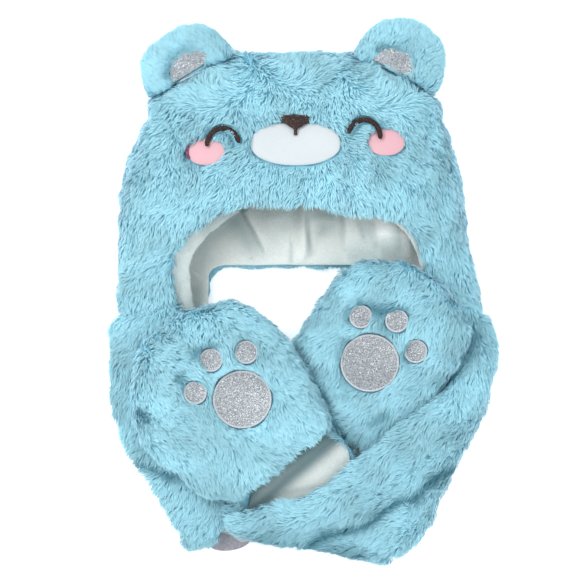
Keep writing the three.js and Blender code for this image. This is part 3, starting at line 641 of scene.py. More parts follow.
@dataclass(frozen=True)
class Oval:
    """A patch in plan that the pile is kept off."""

    x: float  # its middle, across
    y: float  # and along
    half_width: float  # half its size
    half_height: float
    turn: float = 0.0  # its turn in radians
    overhang: float = 0.0  # how far the pile may hang over its edge, as a share

    @staticmethod
    def of_node(node: str, grow: float = 0.0, overhang: float = 0.0) -> "Oval":
        """Makes the oval that fills a CAD node's box, grown by a little."""
        middle, half = box_of(node)
        return Oval(*middle[:2], half[0] + grow, half[1] + grow, overhang=overhang)

    def reach(self, points: Points) -> np.ndarray:
        """Gives how far out points are, 1 at the edge.

        Args:
            points: places, one row each.

        Returns:
            One value for each point.
        """
        dx, dy = points[:, 0] - self.x, points[:, 1] - self.y
        along = dx * math.cos(self.turn) + dy * math.sin(self.turn)
        across = -dx * math.sin(self.turn) + dy * math.cos(self.turn)
        return np.hypot(along / self.half_width, across / self.half_height)


def tree_of(nodes: list[str]) -> BVHTree:
    """Gathers CAD solids as one tree.

    Args:
        nodes: the nodes' names.

    Returns:
        The tree.
    """
    points, faces, start = [], [], 0
    for node in nodes:
        corners, triangles = mesh_arrays(frame["nodes"][node].data)
        points.append(corners)
        faces.append(triangles + start)
        start += len(corners)
    return BVHTree.FromPolygons(np.concatenate(points).tolist(), np.concatenate(faces).tolist())


@dataclass
class Room:
    """The free room above a skin, up to the other solids."""

    node: str  # the CAD node that the skin stands for
    passing: tuple = ()  # nodes that the pile may brush against

    def __post_init__(self) -> None:
        """Gathers the solids."""
        self.others = tree_of([name for name in frame["nodes"] if name not in (self.node, *self.passing)])
        self.own = tree_of([self.node])

    def above(self, spot: Points, way: Points, reach: float) -> float:
        """Gives the free room over a place on the skin.

        Args:
            spot: the place.
            way: the skin's normal there.
            reach: how much room is wanted.

        Returns:
            The room, as a share of what is wanted.
        """
        way = Vector(way)
        start = Vector(spot)
        hit = self.others.ray_cast(start + way * 0.6 * MM, way, reach)
        room = reach if hit[0] is None else hit[3]
        gone = 0.0
        while gone < room:
            place, facing, _, far = self.own.ray_cast(start, way, room - gone)
            if place is None:
                break
            gone += far + RAY_STEP
            if facing.dot(way) < 0 and gone > 0.8 * MM:
                room = min(room, gone)
            start = place + way * RAY_STEP
        return room / reach


@dataclass
class Coat:
    """The plush pile of one piece: strands that lie along its nap and gather in tufts."""

    name: str
    strands: int  # how many strands it has
    length: float  # length of a strand
    seed: int  # number that sets the pile's places
    ways: list  # rows of a place in plan, the way that the nap runs there, and how far around
    clear: list = field(default_factory=list)  # patches that the pile is kept off
    creases: tuple = ()  # creases whose shade is painted on the pile
    trimmed: tuple = ()  # rows of a box's lowest and highest corner, and the pile's length there as a share
    width: float = 0.8 * MM  # width of a strand at its root
    lean: float = 0.84  # how far strands lie down, 0 upright and 1 flat
    tuft: float = 6.4 * MM  # distance between tufts
    gather: float = 0.33  # how strongly a tuft draws its strands together
    rim_shade: float = 0.5  # how dark the painted shade on the pile is at the upper left edge of a patch

    # The pile's tones at a strand's root, middle and tip, darker towards the root as painted shade low in the
    # pile, with how much painted rim light at the object's edges lightens each.
    TONES = (((0.285, 0.6, 0.725), 0.4), ((0.38, 0.71, 0.81), 0.8), ((0.455, 0.785, 0.875), 1.0))
    # The tone of the rim light painted at the object's edges.
    RIM_LIGHT_TONE = (0.64, 0.8, 0.95)
    # The tone of the shade painted in creases.
    CREASE_SHADE_TONE = (0.04, 0.2, 0.28)

    def roots(self, skin: Object, space: Room) -> tuple[Points, Points, np.ndarray]:
        """Spreads the strands' roots over a skin, where there is room above it.

        Args:
            skin: the piece that the pile grows on.
            space: the room above the skin.

        Returns:
            The roots, the skin's normals there, and the room above each as a share of the strand's length.
        """
        rng = np.random.default_rng(self.seed)
        points, faces = mesh_arrays(skin.data)
        cross = crosses(points, faces)
        area = np.linalg.norm(cross, axis=1) / 2
        facing = cross[:, 2] / np.maximum(2 * area, 1e-12)
        wanted = area * np.where(facing < -0.35, 0.22, 1.0)
        pick = rng.choice(len(faces), int(self.strands * 1.9), p=wanted / wanted.sum())
        u, v = rng.random((2, len(pick)))
        over = u + v > 1
        u[over], v[over] = 1 - u[over], 1 - v[over]
        weights = np.stack([1 - u - v, u, v], axis=1)[:, :, None]
        corners = faces[pick]
        place = (points[corners] * weights).sum(axis=1)
        normal = unit((normals_of(skin.data)[corners] * weights).sum(axis=1))
        reach = 0.8 * self.length
        room = np.array([space.above(spot, way, reach) for spot, way in zip(place, normal)])
        free = room > 0.3
        for oval in self.clear:
            free &= oval.reach(place) > 0.88
        kept = np.flatnonzero(free)[: self.strands]
        return place[kept], normal[kept], room[kept]

    def flow(self, place: Points, normal: Points) -> Points:
        """Gives the way of the nap along the skin at each root.

        Args:
            place: the roots.
            normal: the skin's normals.

        Returns:
            One way for each root.
        """
        total = np.zeros_like(place)
        for x, y, way_x, way_y, spread in self.ways:
            near = np.exp(-((place[:, 0] - x) ** 2 + (place[:, 1] - y) ** 2) / (spread * spread))
            total += near[:, None] * np.array([way_x, way_y, 0.0])
        total += np.array([0.0, -0.02, 0.0])
        swirl = 0.7 * ripple(place, 40 * MM, self.seed + 5) + 0.55 * ripple(place, 13 * MM, self.seed + 6)
        turned = total.copy()
        turned[:, 0] = total[:, 0] * np.cos(swirl) - total[:, 1] * np.sin(swirl)
        turned[:, 1] = total[:, 0] * np.sin(swirl) + total[:, 1] * np.cos(swirl)
        turned = unit(turned)
        edge = np.clip(1.3 - 1.6 * np.abs(normal[:, 2]), 0, 1)[:, None] * 0.8
        around = unit(np.cross(normal, UP) + 1e-6)
        around *= np.sign((around * turned).sum(axis=1) + 1e-9)[:, None]
        turned = turned * (1 - edge) + around * edge
        return unit(turned - (turned * normal).sum(axis=1)[:, None] * normal)

    def tufted(self, root: Points, tip: Points, normal: Points) -> Points:
        """Draws the tips of neighbouring strands together.

        Args:
            root: the roots.
            tip: the tips.
            normal: the skin's normals.

        Returns:
            The tips in their tufts.
        """
        rng = np.random.default_rng(self.seed + 2)
        order = rng.permutation(len(root))
        near = KDTree(len(root))
        for i in order:
            near.insert(Vector(root[i]), int(i))
        near.balance()
        centre = np.full(len(root), -1, np.int64)
        for i in order:
            if centre[i] >= 0:
                continue
            for _, j, _ in near.find_range(Vector(root[i]), self.tuft * 0.62):
                if centre[j] < 0 and normal[j] @ normal[i] > 0.3:
                    centre[j] = i
        pull = self.gather * rng.uniform(0.45, 1.0, len(root))[:, None]
        goal = tip[centre] + rng.normal(size=root.shape) * 0.7 * MM
        return tip * (1 - pull) + goal * pull

    def cleared(self, root: Points, tip: Points) -> Points:
        """Keeps the tips off the patches, but for a slight overhang.

        Args:
            root: the roots.
            tip: the tips.

        Returns:
            The tips, moved where a patch needs it.
        """
        rng = np.random.default_rng(self.seed + 3)
        for oval in self.clear:
            far = oval.reach(tip)
            edge = rng.uniform(1 - oval.overhang, 1.04, len(root))
            inside = (far < edge) & (oval.reach(root) > 0.85)
            share = (edge[inside] / np.maximum(far[inside], 0.2))[:, None]
            middle = np.array([oval.x, oval.y])
            tip[inside, :2] = middle + (tip[inside, :2] - middle) * share
        return tip

    def colours(self, root: Points, normal: Points, rng: np.random.Generator) -> list[Points]:
        """Gives each strand its three tones, with painted rim light and painted shade.

        Args:
            root: the roots.
            normal: the skin's normals.
            rng: source of the strands' own differences.

        Returns:
            The colours at root, middle and tip.
        """
        patchy = 1 + 0.13 * ripple(root, 38 * MM, self.seed + 8)[:, None]
        own = rng.uniform(0.93, 1.07, len(root))[:, None]
        # Painted rim light, lighter and bluer where the skin turns to the side.
        rim = np.clip(1 - np.abs(normal[:, 2]) * 1.5, 0, 1)[:, None] * 0.55
        # Painted shade in the creases, and at the upper left edge of each patch, where its rim keeps the
        # light off.
        painted_shade = shade_of(root, self.creases)
        for oval in self.clear:
            away = root[:, :2] - np.array([oval.x, oval.y])
            far = (oval.reach(root) - 1) * oval.half_width
            upper_left = 0.5 + 0.5 * (unit(away) @ np.array([-0.7, 0.7]))
            painted_shade = np.maximum(painted_shade, self.rim_shade * upper_left * np.exp(-((far / (2.6 * MM)) ** 2)))
        painted_shade = painted_shade[:, None]
        tones = []
        for tone, share in self.TONES:
            base = np.array(tone) * patchy * own
            base = base * (1 - rim * share) + np.array(self.RIM_LIGHT_TONE) * rim * share
            tones.append(np.clip(base * (1 - painted_shade) + np.array(self.CREASE_SHADE_TONE) * painted_shade, 0, 0.98))
        return tones

    def grow(self, skin: Object, space: Room) -> Object:
        """Makes the pile as one mesh of narrow strands.

        Args:
            skin: the piece that the pile grows on.
            space: the room above the skin.

        Returns:
            The pile, dressed.
        """
        rng = np.random.default_rng(self.seed + 1)
        root, normal, room = self.roots(skin, space)
        flow = self.flow(root, normal)
        count = len(root)
        lively = rng.uniform(0.7, 1.15, count) * room
        lively *= 1 + 0.16 * ripple(root, 20 * MM, self.seed + 3)
        for low, high, share in self.trimmed:
            inside = np.all((root > np.array(low)) & (root < np.array(high)), axis=1)
            lively[inside] *= share
        rim = np.clip(1.2 - 1.6 * np.abs(normal[:, 2]), 0, 1)
        lively *= 1 - 0.25 * rim
        length = (self.length * lively)[:, None]
        lean = self.lean + 0.12 * ripple(root, 15 * MM, self.seed + 4) + rng.normal(0, 0.07, count)
        lean += 0.1 * rim
        lean = np.clip(lean, 0.25, 0.93)[:, None]
        side = np.cross(normal, flow)
        stray = rng.normal(0, 0.2, count)[:, None]
        way = unit(normal * np.sqrt(1 - lean**2) + flow * lean + side * stray)
        tip = self.cleared(root, self.tufted(root, root + way * length, normal))
        middle = root + (tip - root) * 0.5 + normal * length * 0.13
        run = unit(tip - root)
        across = unit(np.cross(run, normal) + normal * rng.normal(0, 0.35, count)[:, None])
        half = across * (self.width / 2 * rng.uniform(0.75, 1.25, count))[:, None]
        base = root - normal * 0.5 * MM
        points = np.stack([base - half, base + half, middle - half * 0.8, middle + half * 0.8, tip], axis=1)
        points[:, :, 2] = np.maximum(points[:, :, 2], PILE_CLEARANCE)
        start = np.arange(count)[:, None] * 5
        triangles = np.stack([start + [0, 1, 3], start + [0, 3, 2], start + [2, 3, 4]], axis=1)
        mesh = bpy.data.meshes.new(self.name)
        mesh.vertices.add(count * 5)
        mesh.vertices.foreach_set("co", points.reshape(-1))
        mesh.loops.add(count * 9)
        mesh.loops.foreach_set("vertex_index", triangles.reshape(-1).astype(np.int32))
        mesh.polygons.add(count * 3)
        mesh.polygons.foreach_set("loop_start", np.arange(count * 3, dtype=np.int32) * 3)
        smooth_faces(mesh)
        mesh.update(calc_edges=True)
        low, mid, top = self.colours(root, normal, rng)
        tones = np.stack([low, low, mid, mid, top], axis=1)
        paint(mesh, PILE.attribute, np.concatenate([tones, np.ones((count, 5, 1))], axis=2))
        face_way = unit(np.cross(across, run))
        face_way *= np.sign((face_way * normal).sum(axis=1))[:, None]
        lit = unit(normal * 0.9 + face_way * 0.4)
        mesh.normals_split_custom_set_from_vertices(np.repeat(lit, 5, axis=0))
        pile = shown(self.name, mesh)
        PILE.dress(pile)
        LOG.info("%s: %d strands, %d triangles", self.name, count, count * 3)
        return pile


@dataclass
class Cloth:
    """A piece of cloth taken from its CAD solid: made even, smoothed and given soft relief."""

    node: str
    name: str
    voxel: float = 2.6 * MM  # size of its even mesh
    smooth: int = 8  # how many times it is smoothed
    relief: float = 0.9 * MM  # height of its soft unevenness
    hump: float = 17 * MM  # distance between two humps
    seed: int = 3  # number that sets the unevenness
    inset: float = 0.0  # how far it is set in, to leave room for its pile
    make: Make = Make.EVEN  # how its mesh is made
    keep: float = 1.0  # share of the even mesh's faces that is kept
    finer: int = 2  # how many times a lofted mesh is divided
    shape: Callable | None = None  # what moves its points before its faces are thinned out
    creases: tuple = ()  # creases whose shade is painted on it

    def weld(self, made: bmesh.types.BMesh) -> None:
        """Joins the corners and the triangles of a lofted solid into quads.

        Args:
            made: the solid's mesh.
        """
        bmesh.ops.remove_doubles(made, verts=made.verts, dist=0.02 * MM)
        limit = math.radians(60)
        bmesh.ops.join_triangles(
            made, faces=made.faces, angle_face_threshold=limit, angle_shape_threshold=limit
        )

    def build(self) -> Object:
        """Makes the piece.

        Returns:
            The piece, which stands for its CAD node.
        """
        piece = shown(self.name, frame["nodes"][self.node].data.copy())
        if self.make is Make.LOFTED:
            reworked(piece, self.weld)
            smooth_faces(piece.data)
            finer = piece.modifiers.new("finer", "SUBSURF")
            finer.levels = self.finer
        else:
            remesh = piece.modifiers.new("even", "REMESH")
            remesh.mode = "VOXEL"
            remesh.voxel_size = self.voxel
            remesh.use_smooth_shade = True
        soften = piece.modifiers.new("soften", "SMOOTH")
        soften.factor = 0.5
        soften.iterations = self.smooth
        apply_modifiers(piece)
        mesh = piece.data
        points, _ = mesh_arrays(mesh)
        height = self.relief * ripple(points, self.hump, self.seed, 12) - self.inset
        points = points + normals_of(mesh) * height[:, None]
        if self.shape:
            points = self.shape(points)
        points[:, 2] = np.maximum(points[:, 2], CLOTH_CLEARANCE)
        mesh.vertices.foreach_set("co", points.reshape(-1))
        mesh.update()
        if self.keep < 1:
            fewer = piece.modifiers.new("fewer", "DECIMATE")
            fewer.ratio = self.keep
            apply_modifiers(piece)
            mesh = piece.data
        # Paints the creases' shade into an attribute.
        if self.creases:
            points, _ = mesh_arrays(mesh)
            paint(mesh, ClothFinish.creases, np.repeat(shade_of(points, self.creases)[:, None], 4, axis=1))
        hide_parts(self.node)
        LOG.info("%s: %d faces", self.name, len(mesh.polygons))
        return piece


@dataclass
class Surface:
    """The smooth surface that a CAD patch follows, fitted to its upper side."""

    node: str

    def __post_init__(self) -> None:
        """Fits the surface."""
        points, faces = mesh_arrays(frame["nodes"][self.node].data)
        cross = crosses(points, faces)
        upper = cross[:, 2] > 0.6 * np.linalg.norm(cross, axis=1)
        spots = points[np.unique(faces[upper])]
        self.middle = spots[:, :2].mean(axis=0)
        self.factors, *_ = np.linalg.lstsq(self.terms(spots[:, :2]), spots[:, 2], rcond=None)

    def terms(self, spots: Points) -> Points:
        """Gives the terms of the fit at places in plan."""
        x, y = ((spots - self.middle) * 20).T
        return np.stack([np.ones_like(x), x, y, x * x, x * y, y * y], axis=1)

    def raised(self, spots: Points, rise: float) -> Points:
        """Gives the points that lie above places in plan, by a rise over the surface."""
        return np.column_stack([spots, self.terms(spots) @ self.factors + rise])


@dataclass
class Patch:
    """A patch sewn on the plush: a low cushion over its outline."""

    node: str  # the CAD node that it stands for
    outline: Points  # its edge in plan
    crown: float  # height of its middle above its edge
    thickness: float = 2.2 * MM  # thickness of its edge
    lift: float = 0.0  # height of its edge above what it is sewn on
    rings: tuple = (1.0, 1.0, 0.97, 0.9, 0.78, 0.6, 0.4, 0.2)  # shares of the outline, lower edge first

    def build(self) -> Object:
        """Makes the patch.

        Returns:
            The piece.
        """
        surface = Surface(self.node)
        middle = self.outline.mean(axis=0)
        rows = []
        for number, share in enumerate(self.rings):
            rise = self.crown * math.sqrt(max(0.0, 1 - share**2)) + self.lift
            spots = middle + (self.outline - middle) * share
            rows.append(surface.raised(spots, rise if number else -self.thickness))
        rows += [surface.raised(middle[None], rise) for rise in (self.crown + self.lift, -self.thickness)]
        points = np.concatenate(rows)
        count = len(self.outline)
        faces = grid_faces(len(self.rings), count)
        last = (len(self.rings) - 1) * count
        peak = len(points) - 2
        faces += [(last + i, last + (i + 1) % count, peak) for i in range(count)]
        faces += [((i + 1) % count, i, peak + 1) for i in range(count)]
        return new_piece(f"{self.node}_patch", points, faces)


@dataclass
class SatinLine:
    """A line of satin stitches: a low ridge with its threads side by side across it."""

    name: str
    line: Points  # its middle line
    width: float
    height: float
    closed: bool = False  # whether it is a ring
    pitch: float = 0.65 * MM  # distance between two threads
    taper: bool = False  # whether its ends are pointed

    def even(self) -> Points:
        """Gives the middle line with two even points for each thread.

        Returns:
            Its points.
        """
        line = np.concatenate([self.line, self.line[:1]]) if self.closed else self.line
        run = np.concatenate([[0], np.cumsum(np.linalg.norm(np.diff(line, axis=0), axis=1))])
        count = max(8, int(run[-1] / self.pitch) * 2)
        at = np.linspace(0, run[-1], count + 1)[: count if self.closed else count + 1]
        return np.stack([np.interp(at, run, line[:, i]) for i in range(3)], axis=1)

    def build(self) -> Object:
        """Makes the line of stitches.

        Returns:
            The piece.
        """
        line = self.even()
        count = len(line)
        if self.closed:
            travel = np.roll(line, -1, axis=0) - np.roll(line, 1, axis=0)
        else:
            travel = np.gradient(line, axis=0)
        side = unit(np.cross(unit(travel), UP))
        rng = np.random.default_rng(11)
        ridge = np.where(np.arange(count) % 2 == 0, 1.0, 0.72)
        width = self.width / 2 * (1 + rng.normal(0, 0.05, count)) * np.where(ridge < 1, 0.94, 1.0)
        if self.taper:
            at = np.linspace(-1, 1, count)
            width = width * np.clip(1.25 * np.sqrt(np.maximum(0, 1 - at**2)) + 0.35, 0, 1)
        columns = []
        for place in (-1.0, -0.75, -0.35, 0.35, 0.75, 1.0):
            rise = self.height * math.sqrt(max(0.0, 1 - place**2)) * ridge
            columns.append(line + side * (width * place)[:, None] + UP * rise[:, None])
        columns.append(line - UP * self.height * 0.6)
        wide = len(columns)
        faces = grid_faces(count, wide)
        if self.closed:
            last = (count - 1) * wide
            faces += [(last + i, last + (i + 1) % wide, (i + 1) % wide, i) for i in range(wide)]
        else:
            faces += end_faces(count, wide)
        return new_piece(self.name, np.stack(columns, axis=1).reshape(-1, 3), faces, outward=True)


def oval_outline(node: str, sides: int, power: float = 2.0) -> Points:
    """Gives the edge in plan of the oval that fills a CAD node's box.

    Args:
        node: the node's name.
        sides: number of its points.
        power: 2 for an ellipse, more for squarer ends.

    Returns:
        Its points.
    """
    middle, half = box_of(node)
    angle = np.linspace(0, 2 * math.pi, sides, endpoint=False)
    ring = np.stack([np.cos(angle), np.sin(angle)], axis=1)
    return middle[:2] + half[:2] * np.sign(ring) * np.abs(ring) ** (2 / power)


# Shade painted on the pile in the creases between and around the paws.
PAW_CREASE_SHADES = (
    CreaseShade(4.5 * MM, 0.8, ((295, 344), (311, 372), (325, 391), (334, 416), (350, 437), (360, 447))),
    CreaseShade(4 * MM, 0.6, ((473, 331), (468, 350), (461, 363), (442, 387), (427, 398))),
    CreaseShade(3.5 * MM, 0.6, ((135, 458), (178, 472))),
    CreaseShade(5 * MM, 0.75, ((190, 352), (199, 346), (210, 343))),
    CreaseShade(4 * MM, 0.65, ((176, 374), (184, 384))),
    CreaseShade(3 * MM, 0.65, ((140, 408), (147, 416))),
    CreaseShade(6 * MM, 0.8, ((366, 302), (384, 308), (406, 309))),
    CreaseShade(4 * MM, 0.55, ((374, 418), (388, 408))),
)


@dataclass
class Paw:
    """A paw pocket: its plush panel, its pile and its glitter pads."""

    side: str  # left or right, as seen
    heading: float  # the way that the paw points, in degrees
    strands: int  # strands of its pile
    seed: int  # number that sets its pile

    def pads(self) -> list[Oval]:
        """Makes the pads with their stitched rims, and a dark ring of thread around each that paints its
        shadow.

        Returns:
            The places of the pads in plan.
        """
        spots = []
        for pad in ("main_pad", "toe_pad_1", "toe_pad_2", "toe_pad_3"):
            node = f"{self.side}_{pad}"
            big = pad == "main_pad"
            outline = oval_outline(node, 96 if big else 48)
            SILVER.dress(Patch(node, outline, (2.0 if big else 1.2) * MM).build(), node)
            middle = outline.mean(axis=0)
            # The silver rim is real thread; the dark ring at the edge paints the pad's shadow.
            for share, name, width, finish in (
                (0.955 if big else 0.91, "rim", 1.9 * MM, RIM),
                (1.0, "edge", 0.9 * MM, PAD_SHADOW_RING),
            ):
                line = Surface(node).raised(middle + (outline - middle) * share, 0.6 * MM)
                ring = SatinLine(f"{node}_{name}", line, width, 0.9 * MM, closed=True, pitch=1 * MM)
                finish.dress(ring.build())
            spots.append(Oval.of_node(node, 0.4 * MM))
        LOG.info("%s paw: %d pads", self.side, len(spots))
        return spots

    def build(self) -> None:
        """Makes the paw."""
        node = f"{self.side}_paw"
        panel = Cloth(
            node, f"{node}_plush", voxel=2.8 * MM, seed=21, relief=1.2 * MM, inset=1.4 * MM, keep=0.3
        ).build()
        BACKING.dress(panel, fill=0.5)
        way = math.radians(self.heading)
        ways = [(*box_of(node)[0][:2], -math.cos(way), -math.sin(way), 0.2)]
        coat = Coat(f"{node}_pile", self.strands, 9 * MM, self.seed, ways, self.pads(), PAW_CREASE_SHADES)
        coat.grow(panel, Room(node))


EAR_PATCHES = {
    "left": Oval(*seen(188.5, 70), 18.5 * MM, 8.2 * MM, math.radians(27), 0.12),
    "right": Oval(*seen(395, 62), 18 * MM, 8 * MM, math.radians(-27), 0.12),
}


@dataclass
class Ear:
    """A padded plush ear with its glitter patch."""

    side: str  # left or right, as seen
    out: tuple[float, float]  # the way out of the head, in plan
    seed: int  # number that sets its pile

    def build(self) -> None:
        """Makes the ear."""
        node = f"{self.side}_ear"
        body = Cloth(node, f"{node}_plush", seed=13, relief=0.6 * MM, inset=2 * MM).build()
        BACKING.dress(body, fill=0.6)
        patch = f"{node}_patch"
        SILVER.dress(Cloth(patch, f"{patch}_glitter", voxel=0.8 * MM, smooth=4, relief=0.1 * MM).build())
        ways = [(*box_of(node)[0][:2], *self.out, 0.1)]
        coat = Coat(f"{node}_pile", 13000, 8 * MM, self.seed, ways, [EAR_PATCHES[self.side]])
        coat.grow(body, Room(node, ("hood_fur", patch)))


@dataclass
class Face:
    """The sewn face: muzzle, nose, two closed eyes and two cheeks."""

    eye_width: float = 27 * MM
    eye_height: float = 15 * MM
    eye_thread: float = 4.5 * MM
    lift: float = 2.4 * MM
    clear: list = field(default_factory=list)

    # The nose's right half from its top's middle to its stem: shares of half its width and of its height.
    NOSE = (
        *((0.0, 1.0), (0.55, 1.0), (0.84, 0.98), (1.0, 0.86)),
        *((0.98, 0.7), (0.72, 0.42), (0.42, 0.18), (0.2, 0.06)),
    )

    def eye(self, side: str, turn: float) -> None:
        """Makes a closed eye as an arch of satin stitches.

        Args:
            side: left or right, as seen.
            turn: its turn in degrees.
        """
        node = f"{side}_eye"
        angle = np.linspace(math.radians(4), math.radians(176), 40)
        arch = np.stack([np.cos(angle) * self.eye_width / 2, np.sin(angle) * self.eye_height], axis=1)
        tilt = math.radians(turn)
        turned = arch @ np.array([[math.cos(tilt), math.sin(tilt)], [-math.sin(tilt), math.cos(tilt)]])
        turned += box_of(node)[0][:2] - (turned.max(axis=0) + turned.min(axis=0)) / 2
        line = Surface(node).raised(turned, self.lift)
        self.clear += [Oval(x, y, 3.6 * MM, 3.6 * MM) for x, y in turned[::2]]
        stitches = SatinLine(f"{node}_stitches", line, self.eye_thread, 1.4 * MM, taper=True, pitch=0.55 * MM)
        BROWN.dress(stitches.build(), node)

    def nose(self) -> None:
        """Makes the nose and its stem."""
        middle, half = box_of("nose")
        low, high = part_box("nose")
        foot = low.y + 5 * MM
        stem = 1.4 * MM
        right = [(half[0] * x, foot + (high.y - foot) * y) for x, y in self.NOSE]
        left = [(-x, y) for x, y in right[1:]][::-1]
        lower = [(stem, foot), (stem, low.y), (-stem, low.y), (-stem, foot)]
        outline = np.array([*right, *lower, *left]) + np.array([middle[0], 0])
        BROWN.dress(Patch("nose", outline, 0.9 * MM, 1.8 * MM, self.lift).build(), "nose")

    def cheek(self, side: str, first: int, last: int, width: float) -> None:
        """Makes a cheek with dark threads along a part of its edge that paint the shadow there.

        Args:
            side: left or right, as seen.
            first: first point of the edge with threads.
            last: the point after its last.
            width: the threads' width.
        """
        node = f"{side}_cheek"
        CHEEK.dress(Patch(node, oval_outline(node, 64, 2.1), 1.6 * MM).build(), node, 0.2)
        # The dark threads along the left edge paint the shadow there.
        outline = oval_outline(node, 72, 2.1)[first:last]
        line = Surface(node).raised(outline, 1.2 * MM)
        CHEEK_SHADOW.dress(SatinLine(f"{node}_edge", line, width, 1.2 * MM, taper=True).build())
        self.clear += [Oval(x, y, width * 0.7, width * 0.7) for x, y in outline[::2]]

    def muzzle_outline(self) -> Points:
        """Gives the muzzle's edge, with the notch under the nose.

        Returns:
            Its points in plan.
        """
        outline = oval_outline("muzzle", 96, 2.15)
        middle = box_of("muzzle")[0]
        notch = np.exp(-(((outline[:, 0] - middle[0]) / (8 * MM)) ** 2)) * 4 * MM
        upper = outline[:, 1] > middle[1]
        outline[upper, 1] -= notch[upper]
        return outline

    def build(self) -> list[Oval]:
        """Makes the face.

        Returns:
            The places that the hood's pile is kept off.
        """
        MUZZLE.dress(Patch("muzzle", self.muzzle_outline(), self.lift).build(), "muzzle", 0.3)
        self.nose()
        sides = (("left", 6.0, 23, 43, 2.8 * MM), ("right", -10.0, 27, 41, 1.8 * MM))
        for side, turn, first, last, width in sides:
            self.cheek(side, first, last, width)
            self.eye(side, turn)
        LOG.info("face: muzzle, nose, two eyes and two cheeks")
        cheeks = [Oval.of_node(f"{side}_cheek", overhang=0.14) for side in SIDES]
        return [Oval.of_node("muzzle", overhang=0.12), Oval.of_node("nose", 0.5 * MM), *cheeks, *self.clear]


@dataclass(frozen=True)
class Pleat:
    """A pleat of the hood's lining, a ridge from one place to another in plan."""

    start: tuple[float, float]  # where it starts and ends
    end: tuple[float, float]
    height: float
    left: float  # how wide its flanks are
    right: float

    def rise(self, points: Points) -> np.ndarray:
        """Gives how far the pleat lifts the lining at points.

        Args:
            points: places, one row each.

        Returns:
            One value for each point.
        """
        away = away_from(points, self.start, self.end)
        width = np.where(away[:, 0] < 0, self.left, self.right)
        return self.height * np.exp(-((np.linalg.norm(away, axis=1) / width) ** 2))


@dataclass
class Hood:
    """The hood: its plush shell, its lining and its pile."""

    pleats: tuple = (
        Pleat((-0.0486, 0.064), (-0.0333, 0.035), 9 * MM, 3 * MM, 10 * MM),
        Pleat((0.0007, 0.069), (0.0015, 0.028), 7 * MM, 7 * MM, 3 * MM),
        Pleat((0.0355, 0.069), (0.0364, 0.034), 10 * MM, 3 * MM, 12 * MM),
        Pleat((0.0585, 0.064), (0.0636, 0.04), 12 * MM, 5 * MM, 16 * MM),
    )
    # Shade painted on the lining in its creases.
    fold_shades: tuple = (
        CreaseShade(10 * MM, 0.42, ((204, 224), (235, 208), (311, 205), (345, 211))),
        CreaseShade(10 * MM, 0.4, ((194, 312), (195, 275), (205, 244), (232, 222))),
        CreaseShade(9 * MM, 0.4, ((238, 222), (252, 246))),
        CreaseShade(2 * MM, 0.3, ((291, 244), (291, 267))),
        CreaseShade(2.2 * MM, 0.4, ((306, 222), (311, 254))),
        CreaseShade(6 * MM, 0.4, ((318, 216), (332, 216), (322, 232))),
        CreaseShade(8 * MM, 0.25, ((268, 214), (300, 214), (285, 226))),
        CreaseShade(2.5 * MM, 0.3, ((357, 218), (363, 238))),
        CreaseShade(2.5 * MM, 0.25, ((398, 232), (398, 249))),
    )
    right_rise: float = 24 * MM
    neck: tuple = ((-0.095, -0.03, -0.01), (0.075, 0.035, 0.022), 0.3)

    def pleat(self, points: Points) -> Points:
        """Lifts the pleats of the lining's back panel, and its right side.

        Args:
            points: the lining's points.

        Returns:
            The points, moved.
        """
        rise = sum(pleat.rise(points) for pleat in self.pleats)
        share = np.clip((points[:, 0] - 30 * MM) / (45 * MM), 0, 1)
        rise += self.right_rise * share * share * (3 - 2 * share)
        panel = np.clip((34 * MM - points[:, 2]) / (12 * MM), 0, 1)
        hem = np.clip((points[:, 1] - 14 * MM) / (30 * MM), 0, 1)
        crown = np.clip((110 * MM - points[:, 1]) / (30 * MM), 0, 1)
        wall = np.clip((112 * MM - points[:, 0]) / (22 * MM), 0, 1)
        points[:, 2] += rise * panel * hem * crown * wall
        return points

    def build(self, clear: list[Oval]) -> None:
        """Makes the hood.

        Args:
            clear: patches that the pile is kept off.
        """
        shell = Cloth(
            "hood_fur", "hood_plush", voxel=3.2 * MM, relief=1.4 * MM, seed=5, inset=1.4 * MM, keep=0.25
        ).build()
        BACKING.dress(shell)
        look = {"keep": 0.12, "shape": self.pleat, "creases": self.fold_shades}
        lining = Cloth("hood_lining", "hood_fleece", 1.3 * MM, 6, 0.3 * MM, seed=9, **look).build()
        FLEECE.dress(lining)
        (x, y, _), (half_x, half_y, _) = box_of("hood_fur")
        top = y + half_y
        ways = [
            (x - half_x + 0.02, y, -0.35, -1.0, 0.09),
            (x + half_x - 0.02, y, 0.35, -1.0, 0.09),
            (x, top, 0.1, 0.22, 0.035),
            (*seen(196, 84), -1.4, 2.8, 0.018),
            (*seen(394, 80), 1.4, 2.8, 0.018),
            (x - 0.05, top - 0.13, -0.5, -0.8, 0.05),
            (x + 0.06, top - 0.13, 0.5, -0.8, 0.05),
        ]
        patches = [*clear, *EAR_PATCHES.values()]
        coat = Coat("hood_pile", 66000, 9.5 * MM, 51, ways, patches, trimmed=(self.neck,))
        brushed = ("left_ear", "right_ear", "left_ear_patch", "right_ear_patch")
        pile = coat.grow(shell, Room("hood_fur", brushed))


